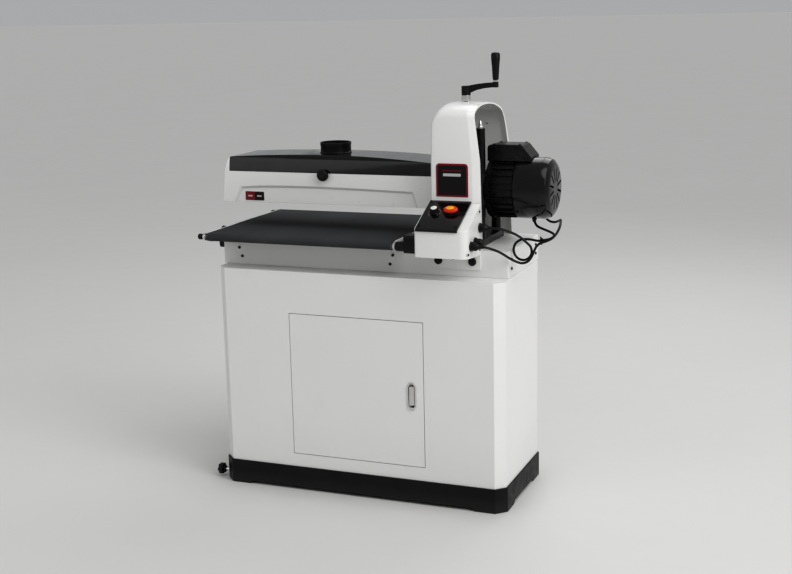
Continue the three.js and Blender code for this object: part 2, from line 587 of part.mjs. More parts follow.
function buildHood() {
  const { left, right, front, rear, bottom, split } = HOOD;
  const { y, z, r, lug } = HOOD_HINGE;
  const seam = -506.7;
  const pinBore = rod('x', r + GAP, left, right, [0, y, z], 12);
  const hull = hoodHull(0);
  const far = 20;

  let body = hull.intersect(box(left - far, right + far, front - far, rear + far, bottom - far, split)
    .add(box(left - far, seam - GAP, front - far, rear + far, bottom - far, HOOD.crown + far)));
  body = body.subtract(box(-505, right - 8, front + 10, rear - 8, bottom - far, split + 1));
  for (const lugPiece of hingeLugs([[-400, -371], [91, 120]], z - lug)) {
    body = body.add(lugPiece);
  }
  body = body.subtract(box(-401, 121, rear, y + 0.2, z, z + lug))
    .subtract(recessTool())
    .subtract(pinBore)
    .subtract(rod('x', 41, right - 10, right + 1, onAxis, 24))
    .subtract(rod('x', 24.6, -521, -500, onAxis, 20))
    .subtract(rod('y', 4.3, front - 1, front + 11, [KNOB.x, 0, KNOB.z], 12));
  add('hood_body', body, WHITE);

  let lid = hull.subtract(hoodHull(4))
    .intersect(box(seam, right + far, front - far, rear + far, split + GAP, HOOD.crown + far));
  for (const lugPiece of hingeLugs([[-370, -341], [61, 90]], z + lug)) {
    lid = lid.add(lugPiece);
  }
  lid = lid.subtract(box(-371, 91, front, rear, z - lug - 1, split + GAP))
    .subtract(box(-371, 91, rear - 5, y + 0.2, z - lug - 1, z - 0.2))
    .subtract(pinBore)
    .subtract(rod('z', PORT.inner, split, HOOD.crown + far, [PORT.x, MID_Y, 0], 28));
  add('hood_cover', lid, GLOSS_BLACK);
  add('hood_hinge_pin', rod('x', r, -400, 120, [0, y, z], 12), STEEL);

  const seat = HOOD.crown + GAP;
  const { inner, outer, neck, rim, base } = PORT;
  const height = PORT.top - seat;
  const port = [[neck, -9], [inner - GAP, -9], [inner - GAP, 0], [base, 0], [base, 1.5], [outer, 4],
    [outer, height - 11], [rim, height - 9], [rim, height], [inner, height], [inner, 4], [neck, 0]];
  add('dust_port', turned('z', port, [PORT.x, MID_Y, seat], 28), BLACK);

  const knob = [[0, -18], [14, -18], [19.5, -14], [19.5, -5], [12, -GAP], [4, -GAP], [4, 14], [0, 14]];
  add('hood_knob', turned('y', knob, [KNOB.x, front, KNOB.z], 20), BLACK);
}

function buildDrum() {
  const { left, right, r, shaftR, wall, disc } = DRUM;
  const bore = shaftR + GAP;
  const profile = [[bore, left], [r, left], [r, right], [bore, right], [bore, right - disc],
    [r - wall, right - disc], [r - wall, left + disc], [bore, left + disc]];
  add('drum', turned('x', profile, onAxis, 36), ALUMINIUM);
  add('abrasive_wrap', ring('x', WRAP.inner, WRAP.outer, left + 2, right - 2, onAxis, 36), ABRASIVE);
  add('drum_shaft', rod('x', shaftR, -520, 338, onAxis, 16), STEEL);
  add('bearing_outboard', ring('x', 13, 24, -520.5, -505.5, onAxis), STEEL);

  const ends = { left: -504.6, right: 149.6, thick: 4 };
  const axes = { front: MID_Y - PRESSURE.offset, rear: MID_Y + PRESSURE.offset };
  for (const [side, x] of [['left', ends.left], ['right', ends.right - ends.thick]]) {
    let hanger = box(x, x + ends.thick, axes.front - 10, axes.rear + 10, PRESSURE.z - 5, PRESSURE.z + 37);
    for (const y of Object.values(axes)) {
      hanger = hanger.subtract(rod('x', PRESSURE.journal + GAP, x - 1, x + 6, [0, y, PRESSURE.z], 12));
    }
    add(`roller_hanger_${side}`, hanger, STEEL);
  }
  for (const [side, y] of Object.entries(axes)) {
    const roller = rod('x', PRESSURE.r, left + 1, right - 1, [0, y, PRESSURE.z], 24)
      .add(rod('x', PRESSURE.journal, ends.left + GAP, ends.right - GAP, [0, y, PRESSURE.z], 12));
    add(`pressure_roller_${side}`, roller, RUBBER);
  }
}

function buildMotor() {
  const { left, cowl, right, r } = MOTOR;
  let body = ring('x', 10.4, 90, left, cowl, onAxis, 36);
  const fins = 24;
  for (let i = 0; i < fins; i++) {
    const angle = (i / fins) * 2 * Math.PI;
    const fin = new THREE.BoxGeometry(cowl - left - 6, 3.2, 9);
    fin.translate((cowl + left) / 2, 0, r - 4.6);
    fin.rotateX(angle);
    fin.translate(...onAxis);
    body = body.add(solid(fin));
  }
  add('motor_body', body, BLACK);

  const profile = [[93.5, cowl + GAP], [r, cowl + 5], [r, right - 26], [91, right - 11], [80, right - 3],
    [70, right], [0, right], [0, right - 4], [68, right - 4], [77, right - 7], [88, right - 14],
    [92.5, right - 27], [92.5, cowl + 8], [90.3, cowl + GAP]];
  let cowling = turned('x', profile, onAxis, 32);
  const slots = 12;
  for (let i = 0; i < slots; i++) {
    const slot = new THREE.BoxGeometry(10, 6, 42);
    slot.translate(right, 0, 45);
    slot.rotateX((i + 0.5) / slots * 2 * Math.PI);
    slot.translate(...onAxis);
    cowling = cowling.subtract(solid(slot));
  }
  add('fan_cover', cowling, BLACK);

  const [x0, x1] = [left - 19, cowl + 51];
  const outline = polygon([[x0, 1088], [x1, 1088], [x1, 1104], [x1 - 31, 1141], [x0 + 12, 1141],
    [x0 + 3, 1138], [x0, 1130]]);
  const junction = prism('y', outline, MID_Y - 45, MID_Y + 45)
    .subtract(rod('x', r + 0.9, x0 - 1, x1 + 1, onAxis, 36));
  add('junction_box', junction, BLACK);

  let rotor = rod('x', 9.8, 341, right - 14, onAxis, 20)
    .add(rod('x', 24, 318, 356, onAxis, 28))
    .add(rod('x', 30, right - 40, right - 32, onAxis, 24))
    .subtract(rod('x', 13, 316, 338.5, onAxis, 24));
  const blades = 6;
  for (let i = 0; i < blades; i++) {
    const blade = new THREE.BoxGeometry(26, 2.5, 60);
    blade.translate(right - 30, 0, 52);
    blade.rotateX(i / blades * 2 * Math.PI);
    blade.translate(...onAxis);
    rotor = rotor.add(solid(blade));
  }
  add('motor_rotor', rotor, STEEL);
}

// ---- motor leads: from the control box, round a hanging loop, through a tie and up to the motor ----
function buildLeads() {
  const exitX = BOX.right + 28 + GAP;
  const loop = { x: 526, z: 829, r: 31, y0: 92, y1: 118 };
  const turns = [60, 25, -10, -45, -80, -115, -150, 175, 140, 105].map((degrees, i, all) => {
    const angle = THREE.MathUtils.degToRad(degrees);
    const y = loop.y0 + (loop.y1 - loop.y0) * i / (all.length - 1);
    return [loop.x + loop.r * Math.cos(angle), y, loop.z + loop.r * Math.sin(angle)];
  });
  const [upperY, upperZ] = GLANDS.gland_upper;
  const [frontY, frontZ] = GLANDS.gland_front;
  const aLower = [[exitX, upperY, upperZ], [exitX + 14, upperY, upperZ], [472, 69.5, 896.5], [497, 79, 887],
    [522, 86.5, 873], ...turns, [545, 117, 861], [571, 114.5, 858.3], [TIE.x0 - 2 * GAP, 114.4, 858.8]];
  const bLower = [[exitX, frontY, frontZ], [exitX + 12, frontY, frontZ], [453, -21.5, 854.5],
    [464.5, -12, 849], [475, 5, 841], [485, 30, 828], [499, 62, 808.5], [514, 79, 796.5], [532, 84, 792],
    [549, 86.5, 799], [560.5, 90.5, 816], [567, 95.5, 834], [TIE.x0 - 3.5, 99.7, 846.5]];
  const aUpper = [[TIE.x1 + 2, 115.3, 861.8], [605, 117.5, 864], [613.5, 124.5, 867.5], [617, 135.5, 871.5],
    [613, 147, 875], [601, 158.5, 878.5], [580, 174.5, 882], [558, 193, 885], [543, 207, 888.5],
    [533.8, 216.8, 896.5], [530, MID_Y - 23.2, DRUM.z - 95.2]];
  const bUpper = [[TIE.x1 + 2, 105.6, 857.2], [604, 107, 861], [616.5, 111, 868], [626.5, 120, 879],
    [631, 135, 891], [630, 157, 900], [624, 187, 906], [615, 222, 907], [605, 255, 902], [592, 281, 894],
    [575, 297, 887.5], [559, 304, 888], [547, 305, 896], [541, 302, 907], [540, MID_Y + 52, DRUM.z - 82.4]];
  addCord('lead_a_lower', tube(aLower, CORD_R, 46), RUBBER);
  addCord('lead_b_lower', tube(bLower, CORD_R, 30), RUBBER);
  addCord('cable_tie', prism('x', roundedRect(94, 121, 845, 867, 9), TIE.x0, TIE.x1), BLACK);
  addCord('lead_a_upper', tube(aUpper, CORD_R, 16), RUBBER);
  addCord('lead_b_upper', tube(bUpper, CORD_R, 26), RUBBER);
}

buildPlinth();
buildCabinet();
buildLatch();
buildBase();
buildConveyor();
buildFeedDrive();
buildTableLever();
buildControlBox();
buildColumn();
buildCrank();
buildCarriage();
buildHood();
buildDrum();
buildMotor();
buildLeads();

// The origin is the middle of the footprint on the floor, measured without the leads.
const extent = new THREE.Box3();
for (const mesh of machine.children) {
  if (!cords.includes(mesh)) {
    extent.expandByObject(mesh);
  }
}
const middle = extent.getCenter(new THREE.Vector3());
machine.position.set(-middle.x, -middle.y, 0);
machine.updateMatrixWorld(true);

export default machine;
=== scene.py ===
"""Drum sander: materials, small pieces, motor leads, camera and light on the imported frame."""
import math

import bmesh
import bpy
from mathutils import Matrix, Vector


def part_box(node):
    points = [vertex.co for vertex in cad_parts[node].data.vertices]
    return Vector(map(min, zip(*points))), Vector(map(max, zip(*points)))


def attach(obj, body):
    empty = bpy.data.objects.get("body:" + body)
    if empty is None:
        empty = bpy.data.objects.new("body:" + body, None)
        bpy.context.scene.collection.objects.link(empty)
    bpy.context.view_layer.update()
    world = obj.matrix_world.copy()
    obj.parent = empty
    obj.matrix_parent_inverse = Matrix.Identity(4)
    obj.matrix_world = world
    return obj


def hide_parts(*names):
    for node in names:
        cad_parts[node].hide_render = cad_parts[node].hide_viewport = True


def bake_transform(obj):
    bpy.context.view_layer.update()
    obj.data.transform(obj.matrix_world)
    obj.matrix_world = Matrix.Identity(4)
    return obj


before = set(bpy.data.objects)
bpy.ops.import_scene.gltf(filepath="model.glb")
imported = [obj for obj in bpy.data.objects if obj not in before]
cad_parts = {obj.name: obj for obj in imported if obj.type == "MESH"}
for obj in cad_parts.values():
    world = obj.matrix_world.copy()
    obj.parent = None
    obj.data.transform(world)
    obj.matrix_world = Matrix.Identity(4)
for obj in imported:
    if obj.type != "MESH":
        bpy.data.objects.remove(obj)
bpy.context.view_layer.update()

# ---- places and sizes, in millimetres from the cabinet's middle, its front face and the floor ----
SHELL_LOW, SHELL_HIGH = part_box("cabinet_shell")
MIDDLE_X = (SHELL_LOW.x + SHELL_HIGH.x) / 2
FRONT_Y = SHELL_LOW.y

MID_Y = 245           # centre plane of base, drum, motor and lead screw
DRUM_Z = 1003
BASE_FRONT = 76
BASE_REAR = 415
BELT_LEFT, BELT_RIGHT = -509, 141
DRIVE_Y, IDLER_Y, ROLLER_Z = -17, 507, 845
BOX_RIGHT = 401
BOX_FRONT = -60
HOOD_FRONT = 149
BADGE_Z = 960.5
PLATE_X = 309
PANEL_SLOPE = math.atan2(64, 135.7)
PANEL_Z = 914.3       # the panel's face above BOX_FRONT
PANEL_LEFT, PANEL_RIGHT = 237, 371
LEAD_R = 3.75
LOOP_X, LOOP_Z, LOOP_R = 526, 829, 31
LOOP_Y, LOOP_DEPTH = 92, 26
TIE_LEFT, TIE_RIGHT = 582, 588
GLANDS = {"gland_upper": (62, 900), "gland_front": (-25, 857), "gland_rear": (14, 863)}
KNOB = (-158, 143, 1038)
STUD = (-512.9, 33, 27)    # outer end of the levelling screw's bare shank
DIAL = (272, 16)
SWITCH = (325, 18)
SCREW_X = 300
GRIP_REACH = 98        # from the lead screw to the crank's grip
POST = (372, 167, 1195)
MOTOR_R = 96.5
COWL_SCREW_X = 487
COWL_BEAD_X = 560
LEAD_ENTRIES = {"a": (530, -23.2, -95.2), "b": (540, 52, -82.4)}    # x, then y and z from the drum's axis

BASE_SCREW = (4.6, 3.4)      # radius and height of the head
EDGE_ANGLE = 32              # degrees; sharper edges are rounded
CREASE_ANGLE = 34            # degrees; sharper edges are shaded as creases

# Pieces are built along z; these turn them to stand along another direction.
ALONG_X = Matrix(((0, 0, 1), (1, 0, 0), (0, 1, 0))).to_4x4()
ALONG_Y = Matrix(((1, 0, 0), (0, 0, 1), (0, -1, 0))).to_4x4()
ALONG_Z = Matrix.Identity(4)
ON_PANEL = Matrix.Rotation(PANEL_SLOPE, 4, "X")


def at(x, y, z):
    """A place in the row frame, in metres."""
    return Vector((MIDDLE_X + x / 1000, FRONT_Y + y / 1000, z / 1000))


# ---- camera ----
def make_camera():
    yaw, pitch, roll = (math.radians(a) for a in (22.068, 12.055, -1.286))
    forward = Vector((-math.sin(yaw) * math.cos(pitch), math.cos(yaw) * math.cos(pitch), -math.sin(pitch)))
    right = Vector((math.cos(yaw), math.sin(yaw), 0))
    up = right.cross(forward)
    tilted_right = right * math.cos(roll) + up * math.sin(roll)
    tilted_up = up * math.cos(roll) - right * math.sin(roll)
    data = bpy.data.cameras.new("camera")
    data.sensor_width = 36
    data.lens = 59.76
    data.clip_start = 0.1
    data.clip_end = 400
    camera = bpy.data.objects.new("camera", data)
    camera.matrix_world = Matrix((
        (*tilted_right, 0), (*tilted_up, 0), (*-forward, 0), (0, 0, 0, 1))).transposed()
    camera.matrix_world.translation = at(1657.12, -3729.31, 1571.28)
    bpy.context.scene.collection.objects.link(camera)
    bpy.context.scene.camera = camera


make_camera()


# ---- materials ----
class Paint:
    """A principled material, and the few texture nodes this scene builds on it."""

    def __init__(self, name, colour, roughness, metallic=0.0, **sockets):
        self.material = bpy.data.materials.new(name)
        self.material.use_nodes = True
        self.tree = self.material.node_tree
        self.shader = self.tree.nodes["Principled BSDF"]
        self.colour = (*colour, 1)
        self.shader.inputs["Base Color"].default_value = self.colour
        self.shader.inputs["Roughness"].default_value = roughness
        self.shader.inputs["Metallic"].default_value = metallic
        for socket, value in sockets.items():
            self.shader.inputs[socket.replace("_", " ")].default_value = value
        self.place = self.node("ShaderNodeTexCoord").outputs["Object"]

    def node(self, kind, **settings):
        made = self.tree.nodes.new(kind)
        for key, value in settings.items():
            setattr(made, key, value)
        return made

    def link(self, source, target):
        self.tree.links.new(source, target)

    def spot(self, stretch=(1, 1, 1)):
        """The place on the object, stretched along its axes."""
        mapping = self.node("ShaderNodeMapping")
        mapping.inputs["Scale"].default_value = stretch
        self.link(self.place, mapping.inputs["Vector"])
        return mapping.outputs["Vector"]

    def noise(self, size, detail=3.0, rough=0.55, stretch=(1, 1, 1)):
        """Cloudy noise whose blotches are about size millimetres across."""
        made = self.node("ShaderNodeTexNoise")
        made.inputs["Scale"].default_value = 1000 / size
        made.inputs["Detail"].default_value = detail
        made.inputs["Roughness"].default_value = rough
        self.link(self.spot(stretch), made.inputs["Vector"])
        return made.outputs["Fac"]

    def grains(self, size):
        """Rounded cells about size millimetres across."""
        made = self.node("ShaderNodeTexVoronoi", feature="F1")
        made.inputs["Scale"].default_value = 1000 / size
        self.link(self.spot(), made.inputs["Vector"])
        return made.outputs["Distance"]

    def spread(self, value, low, high, source=(0.3, 0.7)):
        """value, taken from the source range to low..high."""
        made = self.node("ShaderNodeMapRange")
        for socket, number in zip(("From Min", "From Max", "To Min", "To Max"), (*source, low, high)):
            made.inputs[socket].default_value = number
        self.link(value, made.inputs["Value"])
        return made.outputs["Result"]

    def sums(self, first, second, operation="ADD"):
        made = self.node("ShaderNodeMath", operation=operation)
        self.link(first, made.inputs[0])
        if isinstance(second, (int, float)):
            made.inputs[1].default_value = second
        else:
            self.link(second, made.inputs[1])
        return made.outputs["Value"]

    def tint(self, amount, other):
        """Mixes the base colour towards another by amount, on top of what is there already."""
        mix = self.node("ShaderNodeMix", data_type="RGBA")
        base = self.shader.inputs["Base Color"]
        if base.is_linked:
            self.link(base.links[0].from_socket, mix.inputs["A"])
        else:
            mix.inputs["A"].default_value = self.colour
        mix.inputs["B"].default_value = (*other, 1)
        self.link(amount, mix.inputs["Factor"])
        self.link(mix.outputs["Result"], base)
        return self

    def vary_roughness(self, value, low, high, source=(0.3, 0.7)):
        self.link(self.spread(value, low, high, source), self.shader.inputs["Roughness"])
        return self

    def relief(self, height, depth, strength=1.0):
        """Bumps of depth millimetres, on top of those that are there already."""
        bump = self.node("ShaderNodeBump")
        bump.inputs["Distance"].default_value = depth / 1000
        bump.inputs["Strength"].default_value = strength
        normal = self.shader.inputs["Normal"]
        if normal.is_linked:
            self.link(normal.links[0].from_socket, bump.inputs["Normal"])
        self.link(height, bump.inputs["Height"])
        self.link(bump.outputs["Normal"], normal)
        return self

    def height_above_floor(self):
        split = self.node("ShaderNodeSeparateXYZ")
        self.link(self.place, split.inputs["Vector"])
        return split.outputs["Z"]

    def worn_edges(self, colour, start, end):
        """Lightens or darkens the outer edges, where handling polishes them."""
        pointed = self.node("ShaderNodeNewGeometry").outputs["Pointiness"]
        edge = self.spread(pointed, 0, 1, (start, end))
        broken = self.spread(self.noise(14, 4), 0.1, 1.0, (0.38, 0.62))
        return self.tint(self.sums(edge, broken, "MULTIPLY"), colour)


def white_powder_coat():
    paint = Paint("white_powder_coat", (0.80, 0.80, 0.785), 0.38, Specular_IOR_Level=0.45)
    paint.tint(paint.spread(paint.noise(260, 4), 0, 0.35), (0.745, 0.745, 0.735))
    scuffs = paint.spread(paint.noise(46, 6, 0.7, (1, 1, 0.35)), 0, 0.10, (0.60, 0.78))
    paint.tint(scuffs, (0.50, 0.49, 0.47))
    near_floor = paint.spread(paint.height_above_floor(), 0.16, 0, (0.07, 0.24))
    paint.tint(near_floor, (0.60, 0.585, 0.56))
    paint.vary_roughness(paint.noise(30, 3), 0.34, 0.46)
    paint.relief(paint.noise(2.2, 2), 0.05, 0.30)
    return paint.relief(paint.noise(120, 1), 0.35, 0.12).material


def cast_white_paint():
    paint = Paint("white_enamel_on_casting", (0.80, 0.80, 0.785), 0.3, Coat_Weight=0.25, Coat_Roughness=0.2)
    paint.tint(paint.spread(paint.noise(180, 4), 0, 0.4), (0.755, 0.755, 0.745))
    paint.vary_roughness(paint.noise(24, 3), 0.27, 0.38)
    paint.relief(paint.noise(3.4, 2), 0.06, 0.30)
    return paint.relief(paint.noise(60, 2), 0.30, 0.16).material


def black_powder_coat():
    paint = Paint("black_powder_coat", (0.005, 0.005, 0.0055), 0.42, Specular_IOR_Level=0.36)
    paint.tint(paint.spread(paint.noise(70, 5), 0, 0.5), (0.011, 0.011, 0.0115))
    dust = paint.spread(paint.height_above_floor(), 0.22, 0, (0.0, 0.05))
    paint.tint(dust, (0.09, 0.085, 0.078))
    paint.vary_roughness(paint.noise(26, 4), 0.36, 0.55)
    return paint.relief(paint.noise(1.6, 2), 0.06, 0.5).material


def black_casting():
    paint = Paint("black_paint_on_casting", (0.004, 0.004, 0.0045), 0.26, Specular_IOR_Level=0.38)
    paint.tint(paint.spread(paint.noise(40, 5), 0, 0.6), (0.009, 0.009, 0.0095))
    paint.worn_edges((0.035, 0.035, 0.036), 0.54, 0.62)
    paint.vary_roughness(paint.noise(18, 4), 0.20, 0.36)
    paint.relief(paint.noise(1.3, 3), 0.08, 0.45)
    return paint.relief(paint.noise(9, 3), 0.15, 0.25).material


def gloss_black_enamel():
    paint = Paint("gloss_black_enamel", (0.003, 0.003, 0.0035), 0.2, Coat_Weight=0.5, Coat_Roughness=0.07,
                  Specular_IOR_Level=0.35)
    dust = paint.spread(paint.noise(0.9, 2), 0, 0.10, (0.66, 0.8))
    paint.tint(dust, (0.10, 0.095, 0.09))
    paint.vary_roughness(paint.noise(55, 5), 0.13, 0.24)
    paint.relief(paint.noise(4, 2), 0.03, 0.2)
    return paint.relief(paint.noise(90, 1), 0.3, 0.12).material


def moulded_plastic(name, colour, light, roughness=0.46, texture=1.1):
    paint = Paint(name, colour, roughness, Specular_IOR_Level=0.4)
    paint.tint(paint.spread(paint.noise(25, 4), 0, 0.5), light)
    paint.worn_edges(tuple(min(1, c * 2.2 + 0.01) for c in colour), 0.54, 0.62)
    paint.vary_roughness(paint.noise(12, 4), roughness - 0.08, roughness + 0.1)
    return paint.relief(paint.noise(texture, 2), 0.06, 0.45).material


def cable_rubber():
    paint = Paint("cable_rubber", (0.005, 0.005, 0.005), 0.38, Specular_IOR_Level=0.42)
    paint.tint(paint.spread(paint.noise(9, 4), 0, 0.5), (0.012, 0.012, 0.012))
    paint.vary_roughness(paint.noise(7, 3), 0.34, 0.52)
    return paint.relief(paint.noise(1.8, 3), 0.1, 0.35).material


def roller_rubber():
    paint = Paint("roller_rubber", (0.016, 0.016, 0.017), 0.7)
    paint.tint(paint.spread(paint.noise(30, 5), 0, 0.6), (0.045, 0.044, 0.042))
    paint.relief(paint.noise(1.2, 3), 0.1, 0.6)
    return paint.relief(paint.noise(8, 2, stretch=(0.2, 1, 1)), 0.15, 0.3).material


def grit_belt():
    """Abrasive feed belt: dark grains on cloth, greyed where boards have run."""
    paint = Paint("grit_belt", (0.040, 0.042, 0.045), 0.82, Specular_IOR_Level=0.35)
    paint.tint(paint.spread(paint.noise(210, 4, stretch=(1, 0.3, 1)), 0, 0.55), (0.075, 0.077, 0.080))
    paint.tint(paint.spread(paint.grains(0.9), 0.55, 0, (0.05, 0.45)), (0.15, 0.15, 0.155))
    paint.tint(paint.spread(paint.noise(1.7, 2), 0, 0.5, (0.55, 0.75)), (0.012, 0.012, 0.013))
    paint.vary_roughness(paint.noise(1.4, 2), 0.62, 0.95)
    paint.relief(paint.grains(1.1), 0.35, 0.8)
    return paint.relief(paint.noise(160, 2), 0.8, 0.15).material


def drum_abrasive():
    """Abrasive strip wound round the drum: grains and resin blotches."""
    paint = Paint("drum_abrasive", (0.24, 0.105, 0.060), 0.85)
    paint.tint(paint.spread(paint.noise(60, 5), 0, 0.6), (0.16, 0.070, 0.042))
    paint.tint(paint.spread(paint.grains(0.8), 0.7, 0, (0.0, 0.4)), (0.42, 0.24, 0.16))
    paint.vary_roughness(paint.noise(1.2, 2), 0.65, 0.95)
    return paint.relief(paint.grains(0.9), 0.4, 0.9).material


def turned_steel():
    paint = Paint("turned_steel", (0.50, 0.505, 0.51), 0.3, 1.0)
    paint.tint(paint.spread(paint.noise(22, 5), 0, 0.6), (0.36, 0.36, 0.37))
    lines = paint.noise(30, 3, 0.7, (60, 1, 1))
    paint.vary_roughness(lines, 0.22, 0.42)
    return paint.relief(lines, 0.02, 0.35).material


def threaded_steel():
    """Bright steel with a fine thread along Z."""
    paint = Paint("threaded_steel", (0.42, 0.425, 0.43), 0.32, 1.0)
    paint.tint(paint.spread(paint.noise(12, 4), 0, 0.6), (0.20, 0.19, 0.17))
    wave = paint.node("ShaderNodeTexWave", bands_direction="Z", wave_profile="TRI")
    wave.inputs["Scale"].default_value = 1000 / 10
    paint.link(paint.spot(), wave.inputs["Vector"])
    paint.vary_roughness(paint.noise(6, 3), 0.26, 0.42)
    return paint.relief(wave.outputs["Fac"], 0.9, 0.9).material


def nickel_plate():
    paint = Paint("nickel_plate", (0.72, 0.715, 0.70), 0.16, 1.0)
    paint.tint(paint.spread(paint.noise(30, 5), 0, 0.4), (0.58, 0.575, 0.56))
    paint.vary_roughness(paint.noise(14, 5, 0.65), 0.12, 0.26)
    return paint.relief(paint.noise(3, 2), 0.02, 0.3).material


def machined_aluminium():
    paint = Paint("machined_aluminium", (0.66, 0.665, 0.67), 0.34, 1.0)
    paint.tint(paint.spread(paint.noise(40, 5), 0, 0.5), (0.52, 0.525, 0.53))
    lines = paint.noise(26, 3, 0.7, (1, 1, 40))
    paint.vary_roughness(lines, 0.28, 0.44)
    return paint.relief(lines, 0.02, 0.4).material


def bearing_bronze():
    paint = Paint("bearing_bronze", (0.50, 0.32, 0.13), 0.3, 1.0)
    paint.tint(paint.spread(paint.noise(14, 5), 0, 0.7), (0.30, 0.20, 0.10))
    paint.vary_roughness(paint.noise(9, 4), 0.25, 0.45)
    return paint.relief(paint.noise(2, 2), 0.03, 0.4).material


def black_screw_finish():
    paint = Paint("black_oxide", (0.016, 0.016, 0.018), 0.34, 0.6)
    paint.tint(paint.spread(paint.noise(5, 4), 0, 0.6), (0.040, 0.040, 0.042))
    paint.worn_edges((0.16, 0.16, 0.16), 0.53, 0.62)
    return paint.relief(paint.noise(0.8, 2), 0.03, 0.4).material


def printed(name, colour, other):
    """Screen print on a plate: even colour with a faint mottle and a slight film gloss."""
    paint = Paint(name, colour, 0.36, Specular_IOR_Level=0.35, Coat_Weight=0.15, Coat_Roughness=0.15)
    paint.tint(paint.spread(paint.noise(12, 4), 0, 0.4), other)
    paint.vary_roughness(paint.noise(8, 3), 0.26, 0.4)
    return paint.relief(paint.noise(1.5, 2), 0.02, 0.3).material


def pale_floor():
    paint = Paint("pale_floor", (0.66, 0.655, 0.645), 0.62)
    paint.tint(paint.spread(paint.noise(900, 5), 0, 0.4), (0.63, 0.625, 0.615))
    paint.vary_roughness(paint.noise(120, 4), 0.55, 0.72)
    return paint.relief(paint.noise(6, 3), 0.1, 0.2).material


WHITE = white_powder_coat()
CAST_WHITE = cast_white_paint()
BLACK = black_powder_coat()
CAST_BLACK = black_casting()
GLOSS = gloss_black_enamel()
PLASTIC = moulded_plastic("black_plastic", (0.004, 0.004, 0.0045), (0.008, 0.008, 0.0085))
RED = moulded_plastic("red_plastic", (0.62, 0.035, 0.012), (0.70, 0.07, 0.02), 0.3, 2.5)
# Painted highlight: this amber stands for the lit top of the red stop paddle.
PAINTED_HIGHLIGHT_AMBER = moulded_plastic("amber_painted_highlight", (0.88, 0.46, 0.03), (0.92, 0.54, 0.06), 0.3, 2.5)
IVORY = moulded_plastic("ivory_plastic", (0.78, 0.77, 0.73), (0.70, 0.69, 0.65), 0.34, 2.5)
CABLE = cable_rubber()
RUBBER = roller_rubber()
BELT = grit_belt()
ABRASIVE = drum_abrasive()
STEEL = turned_steel()
THREAD = threaded_steel()
NICKEL = nickel_plate()
ALUMINIUM = machined_aluminium()
BRONZE = bearing_bronze()
OXIDE = black_screw_finish()
PLATE_BLACK = printed("plate_black", (0.006, 0.004, 0.0045), (0.011, 0.008, 0.008))
PLATE_RED = printed("plate_red", (0.24, 0.006, 0.020), (0.18, 0.005, 0.015))
PLATE_GREY = printed("plate_grey", (0.52, 0.52, 0.52), (0.44, 0.44, 0.44))
PRINT_WHITE = printed("print_white", (0.78, 0.78, 0.77), (0.70, 0.70, 0.69))


# ---- shaping helpers ----
def soften(obj, width, dissolve=False):
    """Rounds a mesh's sharp edges, with clean shading on the flats; with dissolve it first welds the mesh and
    merges its flat faces.
    """
    data = obj.data
    data.polygons.foreach_set("use_smooth", [True] * len(data.polygons))
    if dissolve:
        if "custom_normal" in data.attributes:
            data.attributes.remove(data.attributes["custom_normal"])
        weld = obj.modifiers.new("weld", "WELD")
        weld.merge_threshold = 2e-6
        flat = obj.modifiers.new("flat", "DECIMATE")
        flat.decimate_type = "DISSOLVE"
        flat.angle_limit = math.radians(0.4)
    bevel = obj.modifiers.new("bevel", "BEVEL")
    bevel.width = width / 1000
    bevel.segments = 2
    bevel.limit_method = "ANGLE"
    bevel.angle_limit = math.radians(EDGE_ANGLE)
    bevel.harden_normals = True
    bevel.miter_outer = "MITER_ARC"


def mesh_object(name, bm, material, turn=ALONG_Z, centre=(0, 0, 0)):
    """A smooth object from a bmesh built in millimetres round its own origin. The bmesh is used up."""
    bmesh.ops.recalc_face_normals(bm, faces=bm.faces)
    bmesh.ops.transform(bm, matrix=Matrix.Scale(0.001, 4) @ turn, verts=bm.verts)
    bmesh.ops.translate(bm, vec=at(*centre), verts=bm.verts)
    data = bpy.data.meshes.new(name)
    bm.to_mesh(data)
    bm.free()
    data.materials.append(material)
    data.polygons.foreach_set("use_smooth", [True] * len(data.polygons))
    obj = bpy.data.objects.new(name, data)
    bpy.context.scene.collection.objects.link(obj)
    return obj


def piece(name, bm, material, body, bevel=0.0, turn=ALONG_Z, centre=(0, 0, 0)):
    """A small piece with its edges rounded by bevel, or left sharp, that rides on a body."""
    obj = mesh_object(name, bm, material, turn, centre)
    if bevel:
        soften(obj, bevel)
    else:
        obj.data.set_sharp_from_angle(angle=math.radians(CREASE_ANGLE))
    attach(obj, body)
    return obj


def lathe(profile, segments=48, wave=None):
    """A turned solid. profile is a closed outline of (radius, distance along the axis); wave, if given, takes
    the angle and the radius and returns the radius there."""
    bm = bmesh.new()
    rings = []
    for radius, along in profile:
        if radius < 1e-6:
            rings.append([bm.verts.new((0, 0, along))])
            continue
        ring = []
        for i in range(segments):
            angle = 2 * math.pi * i / segments
            r = wave(angle, radius) if wave else radius
            ring.append(bm.verts.new((r * math.cos(angle), r * math.sin(angle), along)))
        rings.append(ring)
    pairs = list(zip(rings, rings[1:]))
    if len(rings[0]) > 1 and len(rings[-1]) > 1:
        pairs.append((rings[-1], rings[0]))
    for a, b in pairs:
        if len(a) == 1 and len(b) == 1:
            continue
        for i in range(segments):
            j = (i + 1) % segments
            corners = [a[0]] if len(a) == 1 else [a[i], a[j]]
            corners += [b[0]] if len(b) == 1 else [b[j], b[i]]
            bm.faces.new(corners)
    return bm


def slab(outline, low, high):
    """A straight solid over an outline of (u, v) points, from low to high along the third axis."""
    bm = bmesh.new()
    bottom = [bm.verts.new((u, v, low)) for u, v in outline]
    top = [bm.verts.new((u, v, high)) for u, v in outline]
    bm.faces.new(bottom[::-1])
    bm.faces.new(top)
    for i in range(len(outline)):
        j = (i + 1) % len(outline)
        bm.faces.new((bottom[i], bottom[j], top[j], top[i]))
    return bm


